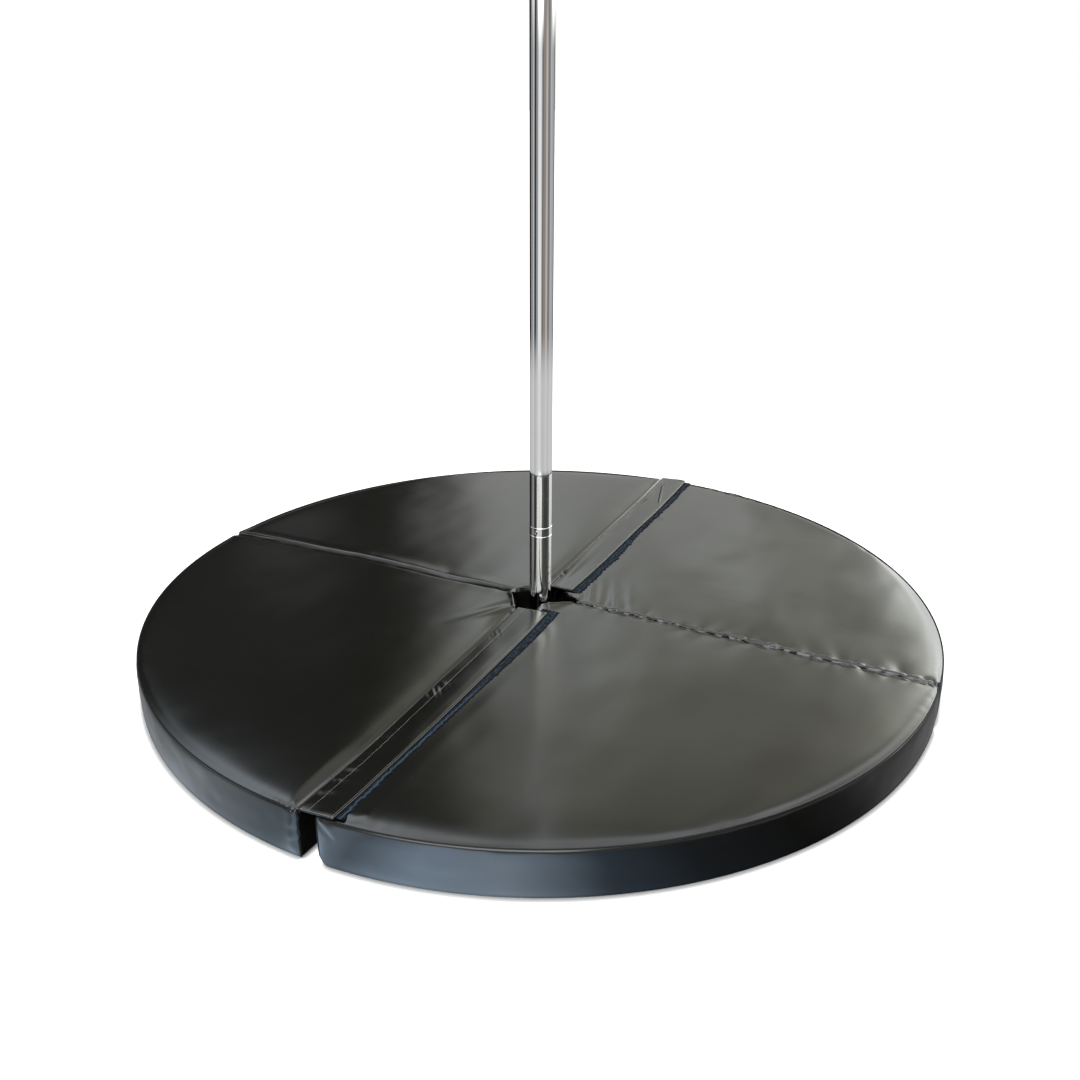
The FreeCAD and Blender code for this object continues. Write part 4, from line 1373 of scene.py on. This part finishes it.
class POLEMAT_OT_creases(bpy.types.Operator):
    """Makes the sewn web in each half's fold"""

    bl_idname = "pole_mat.creases"
    bl_label = "Fold creases"

    def execute(self, context):
        behind = np.linspace(-0.013, 0.021, 18)
        for half, side in (("left", -1), ("right", 1)):
            rows = []
            for out in np.linspace(0.074, 0.738, 240):
                z = 0.0800 + 0.0006 * bell(behind - crease_line(side, out), 0.0025)
                rows.append(np.column_stack([np.full(len(behind), side * out), behind, z]))
            web = strip_mesh(half + "_crease_web", rows, 0.0009)
            finished(web, None, "piping_vinyl")
            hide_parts(half + "_front_fold_leaf", half + "_rear_fold_leaf")
            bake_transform(web)
        return {"FINISHED"}


def flap_top(across, along, flap, sizes):
    """Height of a closing flap's upper face, over the gap, the pad's edge and the strip."""
    end = flap["end"]
    flat = np.column_stack([across, along * end, np.zeros(len(across))])
    soft = fractal(flat * np.array([1.0, 0.6, 1.0]), 26.0, 21 + end)
    diagonal = flat @ np.array([[1.0, 0, 0], [0.8, 0.25, 0], [0, 0, 1.0]])
    fine = fractal(diagonal, 95.0, 31 + end)
    patches = grade(fractal(flat * np.array([0.0, 1.0, 0.0]), 14.0, 41 + end), 0.02, 0.3)
    seam = look_up(flap["seam"], along)
    hem = look_up(flap["hem"], along)
    stitched = seam + flap["topstitch"]
    loose = bell(across - stitched + 0.006, 0.011)
    z = look_up(FLAP_HEIGHTS, across, 0.002)
    z = z + sizes.flap_wrinkle * (soft * 0.5 + fine * loose * patches * 1.6)
    z = z - 0.0001 * bell(across - stitched, 0.0014)
    z = z - 0.00015 * bell(across - hem + HEM_STITCH, 0.0014)
    z = z - flap["rim_droop"] * grade(np.hypot(across, along), 0.741, 0.7495)
    z = z - 0.0008 * (1 - grade(along, flap["start"], flap["start"] + 0.004))
    if end < 0:
        ripples = np.column_stack([across * 0, along + across * 0.22, across * 0])
        place = grade(along, 0.45, 0.51) + 0.7 * bell(along - 0.38, 0.02)
        near = bell(across - seam - 0.012, 0.015)
        return z + 0.0011 * fractal(ripples, 62.0, 51) * place * near
    ridge = bell(across - 0.005 - (0.7 - along) * 0.276, 0.003)
    z = z + 0.0022 * ridge * grade(along, 0.53, 0.6) * (1 - grade(along, 0.68, 0.74))
    for place, tall, size in FLAP_CUSHIONS:
        z = z + tall * bump_at(across, along, place, size)
    z = z - 0.0014 * (1 - grade(across - seam, 0.0, 0.0032))
    z = z - 0.0006 * bell(across - seam - 0.0055, 0.0012)
    return z + 0.0009 * bell(across - 0.032, 0.016) * grade(along, 0.71, 0.745)


class POLEMAT_OT_flaps(bpy.types.Operator):
    """Makes the closing flaps, the tape they are sewn on by and their topstitching"""

    bl_idname = "pole_mat.flaps"
    bl_label = "Closing flaps"

    def execute(self, context):
        sizes = context.scene.mat_sizes
        for name, flap in FLAPS.items():
            self.flap(name, flap, sizes)
            self.tape(name, flap)
        return {"FINISHED"}

    def grid(self, flap, rows, columns, radius):
        """Places across and along of a flap's grid, whose outer end follows the rim."""
        share = np.linspace(0, 1, columns)
        start = flap["start"]
        grid = []
        for fraction in np.linspace(0, 1, rows):
            along = start + fraction * (radius - start)
            seam = look_up(flap["seam"], along)
            across = seam + share * (look_up(flap["hem"], along) - seam)
            limit = np.sqrt(radius ** 2 - across ** 2)
            grid.append(np.column_stack([across, start + fraction * (limit - start)]))
        return np.array(grid)

    def lay(self, across, along, flap, sizes, raised=0.0):
        """Points on a flap's upper face, or a little above it."""
        z = flap_top(across, along, flap, sizes) + raised
        return np.column_stack([across, along * flap["end"], z])

    def flap(self, name, flap, sizes):
        grid = self.grid(flap, *FLAP_GRID, sizes.radius - 0.0005)
        points = self.lay(*grid.reshape(-1, 2).T, flap, sizes)
        rows = points.reshape(*grid.shape[:2], 3)
        sheet = strip_mesh(name + "_flap_cloth", rows, FLAP_THICKNESS)
        finished(sheet, name + "_flap", "flap_vinyl")
        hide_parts(name + "_flap")
        stitches = self.stitching(name, flap, sizes)

    def stitching(self, name, flap, sizes):
        """Topstitching along the four edges of a flap."""
        limit = sizes.radius - HEM_STITCH
        along = np.linspace(flap["start"] + 0.004, 0.744, 300)
        inner = look_up(flap["seam"], along) + flap["topstitch"]
        lines = []
        for across in (inner, look_up(flap["hem"], along) - HEM_STITCH):
            keep = np.hypot(across, along) < limit
            lines.append((across[keep], along[keep]))
        near, far = (
            np.linspace(look_up(flap["seam"], at) + 0.004, look_up(flap["hem"], at) - 0.004, 60)
            for at in (0.06, 0.74)
        )
        lines.append((near, np.full(len(near), flap["start"] + HEM_STITCH)))
        lines.append((far, np.sqrt(limit ** 2 - far ** 2)))
        paths = [self.lay(*line, flap, sizes, 0.0002) for line in lines]
        thread = line_object(name + "_flap_stitches", paths)
        run_nodes(thread, stitch_run, {
            "Stitch": sizes.stitch, "Pitch": sizes.stitch * 1.55, "Thread": 0.0008,
            "Material": material("stitch_thread"),
        })
        return finished(thread, name + "_flap", "stitch_thread")

    def tape(self, name, flap):
        """Tape under the left pad's lip that the flap hangs from."""
        heights = np.array([0.0785, 0.0785, 0.0787, 0.0788, 0.0790, 0.0792, 0.0872])
        rows = []
        for along in np.linspace(flap["start"] + 0.003, 0.746, 220):
            seam = look_up(flap["seam"], along)
            across = [-0.0325, -0.029, -0.0265, -0.0245, -0.0232, seam - 0.001, seam + 0.0016]
            rows.append(np.column_stack([across, np.full(len(across), along * flap["end"]), heights]))
        tape = strip_mesh(name + "_flap_hinge", rows, 0.0008)
        finished(tape, None, "piping_vinyl")
        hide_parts(name + "_flap_tape")
        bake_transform(tape)


class POLEMAT_OT_strips(bpy.types.Operator):
    """Makes the loop strips on the right half and the hook strips under the flaps"""

    bl_idname = "pole_mat.strips"
    bl_label = "Hook and loop strips"

    def execute(self, context):
        for name, flap in FLAPS.items():
            self.loops(name, flap)
            self.hooks(name, flap)
        return {"FINISHED"}

    def strip(self, name, flap, start, reach, inner, outer, top, thickness, ragged=0.0):
        """Strip between two edges, with painted shade at its edges and its stitches marked for the
        finish.
        """
        share = np.linspace(0, 1, 40)
        rows = []
        edges = []
        seams = []
        for along in np.linspace(start, reach, 260):
            left = inner(along)
            right = outer(along) + ragged * noise.noise(Vector((along * 45.0, 9.0, flap["end"])))
            right += ragged * 0.45 * math.sin(along * 480.0 + 1.5 * math.sin(along * 90.0))
            across = left + share * (right - left)
            place = np.minimum(along, np.sqrt(np.maximum(reach ** 2 - across ** 2, 0.0)))
            swell = 0.0002 * np.sin(across * 150.0 + along * 40.0)
            fall = 0.001 * (1 - grade(right - across, 0.0, 0.002))
            rows.append(np.column_stack([across, place * flap["end"], top + swell - fall]))
            # Painted shade for the finish: a dark band where the flap's hem overhangs the strip, and
            # dark scallops along the outer edge.
            flap_shadow = 1 - grade(across - look_up(flap["hem"], along), 0.0025, 0.004)
            scallop = 0.0014 + 0.0016 * (0.5 + 0.5 * math.sin(along * 480.0))
            scalloped_shade = 1 - grade(right - across, scallop, scallop + 0.0008)
            edges.append(np.maximum(flap_shadow, scalloped_shade))
            seam = bell(right - across - 0.0048 - 0.0006 * math.sin(along * 300.0), 0.0008)
            seams.append(seam * (flap["end"] < 0) * grade(along, 0.3, 0.42))
        obj = strip_mesh(name, rows, thickness)
        for label, values in (("strip_edge", edges), ("strip_seam", seams)):
            store(obj, label, np.tile(np.concatenate(values), 2))
        return obj

    def loops(self, name, flap):
        strip = self.strip(
            name + "_loop_pile", flap, flap["strip_start"], 0.7435,
            inner=lambda along: 0.0265, outer=lambda along: look_up(flap["strip"], along),
            top=0.0889, thickness=0.0014, ragged=flap["ragged"],
        )
        run_nodes(strip, loop_scatter, {
            "Density": PILE_DENSITY, "Seed": 5, "Loop radius": 0.0005, "Wire": 0.00016,
            "Facing": 1.0, "Material": material("loop_pile"),
        })
        finished(strip, "right_" + name, "loop_pile")
        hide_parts(name + "_loop_strip")

    def hooks(self, name, flap):
        strip = self.strip(
            name + "_hook_pile", flap, flap["start"] + 0.003, 0.741,
            inner=lambda along: look_up(flap["hem"], along) - 0.0175,
            outer=lambda along: look_up(flap["hem"], along) - 0.002,
            top=0.0892, thickness=0.0003,
        )
        run_nodes(strip, loop_scatter, {
            "Density": PILE_DENSITY, "Seed": 8, "Loop radius": 0.0003, "Wire": 0.00012,
            "Facing": -1.0, "Material": material("hook_pile"),
        })
        finished(strip, name + "_flap", "hook_pile")
        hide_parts(name + "_hook_strip")


class POLEMAT_OT_zips(bpy.types.Operator):
    """Adds the meshing teeth to the zips and finishes their tapes and sliders"""

    bl_idname = "pole_mat.zips"
    bl_label = "Zips"

    def execute(self, context):
        for quarter, (side, end) in QUARTERS.items():
            low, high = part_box(quarter + "_zip")
            face = (high.x if side < 0 else low.x) + side * 0.0003
            middle = (low.z + high.z) / 2
            path = [(face, y, middle) for y in np.linspace(low.y + 0.002, high.y - 0.002, 3)]
            teeth = line_object(quarter + "_zip_teeth", [path])
            run_nodes(teeth, zip_teeth, {
                "Pitch": 0.0016, "Tooth": (0.0007, 0.0011, 0.0026), "Stagger": 0.0008,
                "Material": material("zip_nickel"),
            })
            shade(teeth, smooth=False)
            finished(teeth, quarter, "zip_nickel")
            paint(quarter + "_zip", "zip_tape")
            paint(quarter + "_zip_slider", "zip_nickel")
        return {"FINISHED"}


def paint(node, finish):
    """Puts a finish on a CAD node as it stands."""
    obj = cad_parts[node]
    obj.data.materials.clear()
    obj.data.materials.append(material(finish))


def turned_mesh(name, profile, segments=128):
    """Solid turned round the pole from a closed outline of (radius, height) points."""
    turns = np.linspace(0, 2 * math.pi, segments, endpoint=False)
    rings = [
        np.column_stack([r * np.cos(turns), r * np.sin(turns), np.full(segments, z)]) for r, z in profile
    ]
    return solid(name, np.concatenate(rings), ring_faces(len(rings), segments, closed=True))


def screw_mesh(name, end, radius=0.0038, socket=0.0019, length=0.0045):
    """Small set screw lying across the pole, its socket facing out at one end."""
    count = 36
    turns = np.linspace(0, 2 * math.pi, count, endpoint=False)
    hexagon = socket / np.cos((turns + math.pi / 6) % (math.pi / 3) - math.pi / 6)
    circle = np.ones(count)
    rings = (
        (circle * 0.0002, -length), (circle * radius, -length), (circle * radius, -0.0004),
        (circle * (radius - 0.0003), -0.0001), (circle * (radius - 0.0009), 0.0),
        (hexagon + 0.00015, 0.0), (hexagon, -0.00015), (hexagon, -0.0018), (circle * 0.0002, -0.0021),
    )
    points = [
        np.column_stack([
            reach * np.cos(turns), np.full(count, end * (SCREW_FACE + depth)),
            SCREW_HEIGHT + reach * np.sin(turns),
        ])
        for reach, depth in rings
    ]
    last = (len(rings) - 1) * count
    ends = [tuple(range(count)), tuple(range(last, last + count))]
    return solid(name, np.concatenate(points), ends + ring_faces(len(rings), count))


class POLEMAT_OT_pole(bpy.types.Operator):
    """Finishes the pole, its foot, its bearings and its ceiling cup"""

    bl_idname = "pole_mat.pole"
    bl_label = "Pole and foot"

    def execute(self, context):
        finishes = {
            "pole_chrome": ("base_tube", "lower_tube", "upper_tube", "lock_ring", "top_collar"),
            "foot_chrome": ("base_plate", "ceiling_cup"),
            "screw_black": ("front_lock_screw", "rear_lock_screw", "joint_screws"),
            "disc_rubber": ("foot_pad", "ceiling_pad"),
            "bush_bronze": ("head_bush",),
            "plain_steel": (
                "jack_screw", "jack_nut", "spindle_plug", "spindle", "spindle_nut",
                "lower_bearing_inner_race", "lower_bearing_outer_race", "lower_bearing_balls",
                "upper_bearing_inner_race", "upper_bearing_outer_race", "upper_bearing_balls",
                "joint_spigot", "bearing_spacer", "head_spindle",
            ),
        }
        for finish, nodes in finishes.items():
            for node in nodes:
                paint(node, finish)
        self.ring()
        for name, end in (("front", -1), ("rear", 1)):
            screw = screw_mesh(name + "_set_screw", end)
            finished(screw, name + "_screw", "screw_black")
            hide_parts(name + "_lock_screw")
        return {"FINISHED"}

    def ring(self):
        """Lock ring with a small bead at each rim, which catches the light."""
        turns = np.radians(np.linspace(-80, 80, 7))
        low, high = (
            [(BEAD_REACH + BEAD_RADIUS * math.cos(a), z + BEAD_RADIUS * math.sin(a)) for a in turns]
            for z in (0.2229, 0.2406)
        )
        ring = turned_mesh("turned_lock_ring", [
            (0.0155, 0.2223), (0.0209, 0.2223), *low, (0.0213, 0.2246), (0.0213, 0.2391), *high,
            (0.0209, 0.2412), (0.01895, 0.2412), (0.01895, 0.261), (0.0155, 0.261),
        ])
        finished(ring, "mast", "pole_chrome")
        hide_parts("lock_ring")


class POLEMAT_PT_panel(bpy.types.Panel):
    """Lists the steps that dress the mat and the pole"""

    bl_idname = "POLEMAT_PT_panel"
    bl_label = "Pole Mat"
    bl_space_type = "VIEW_3D"
    bl_region_type = "UI"
    bl_category = "Pole Mat"

    def draw(self, context):
        column = self.layout.column(align=True)
        for step in STEPS:
            column.operator(step.bl_idname)
        for group in (context.scene.mat_sizes, context.scene.mat_finishes, context.scene.mat_studio):
            box = self.layout.box()
            for key in group.__annotations__:
                box.prop(group, key)


STEPS = (
    POLEMAT_OT_stage,
    POLEMAT_OT_pads,
    POLEMAT_OT_creases,
    POLEMAT_OT_flaps,
    POLEMAT_OT_strips,
    POLEMAT_OT_zips,
    POLEMAT_OT_pole,
)
CLASSES = (MatSizes, MatFinishes, StudioSettings, *STEPS, POLEMAT_PT_panel)


def register():
    for item in CLASSES:
        bpy.utils.register_class(item)
    bpy.types.Scene.mat_sizes = bpy.props.PointerProperty(type=MatSizes)
    bpy.types.Scene.mat_finishes = bpy.props.PointerProperty(type=MatFinishes)
    bpy.types.Scene.mat_studio = bpy.props.PointerProperty(type=StudioSettings)


def unregister():
    del bpy.types.Scene.mat_studio
    del bpy.types.Scene.mat_finishes
    del bpy.types.Scene.mat_sizes
    for item in reversed(CLASSES):
        bpy.utils.unregister_class(item)


def main():
    register()
    bpy.ops.pole_mat.stage()
    bpy.ops.pole_mat.pads()
    bpy.ops.pole_mat.creases()
    bpy.ops.pole_mat.flaps()
    bpy.ops.pole_mat.strips()
    bpy.ops.pole_mat.zips()
    bpy.ops.pole_mat.pole()


if __name__ == "__main__":
    main()
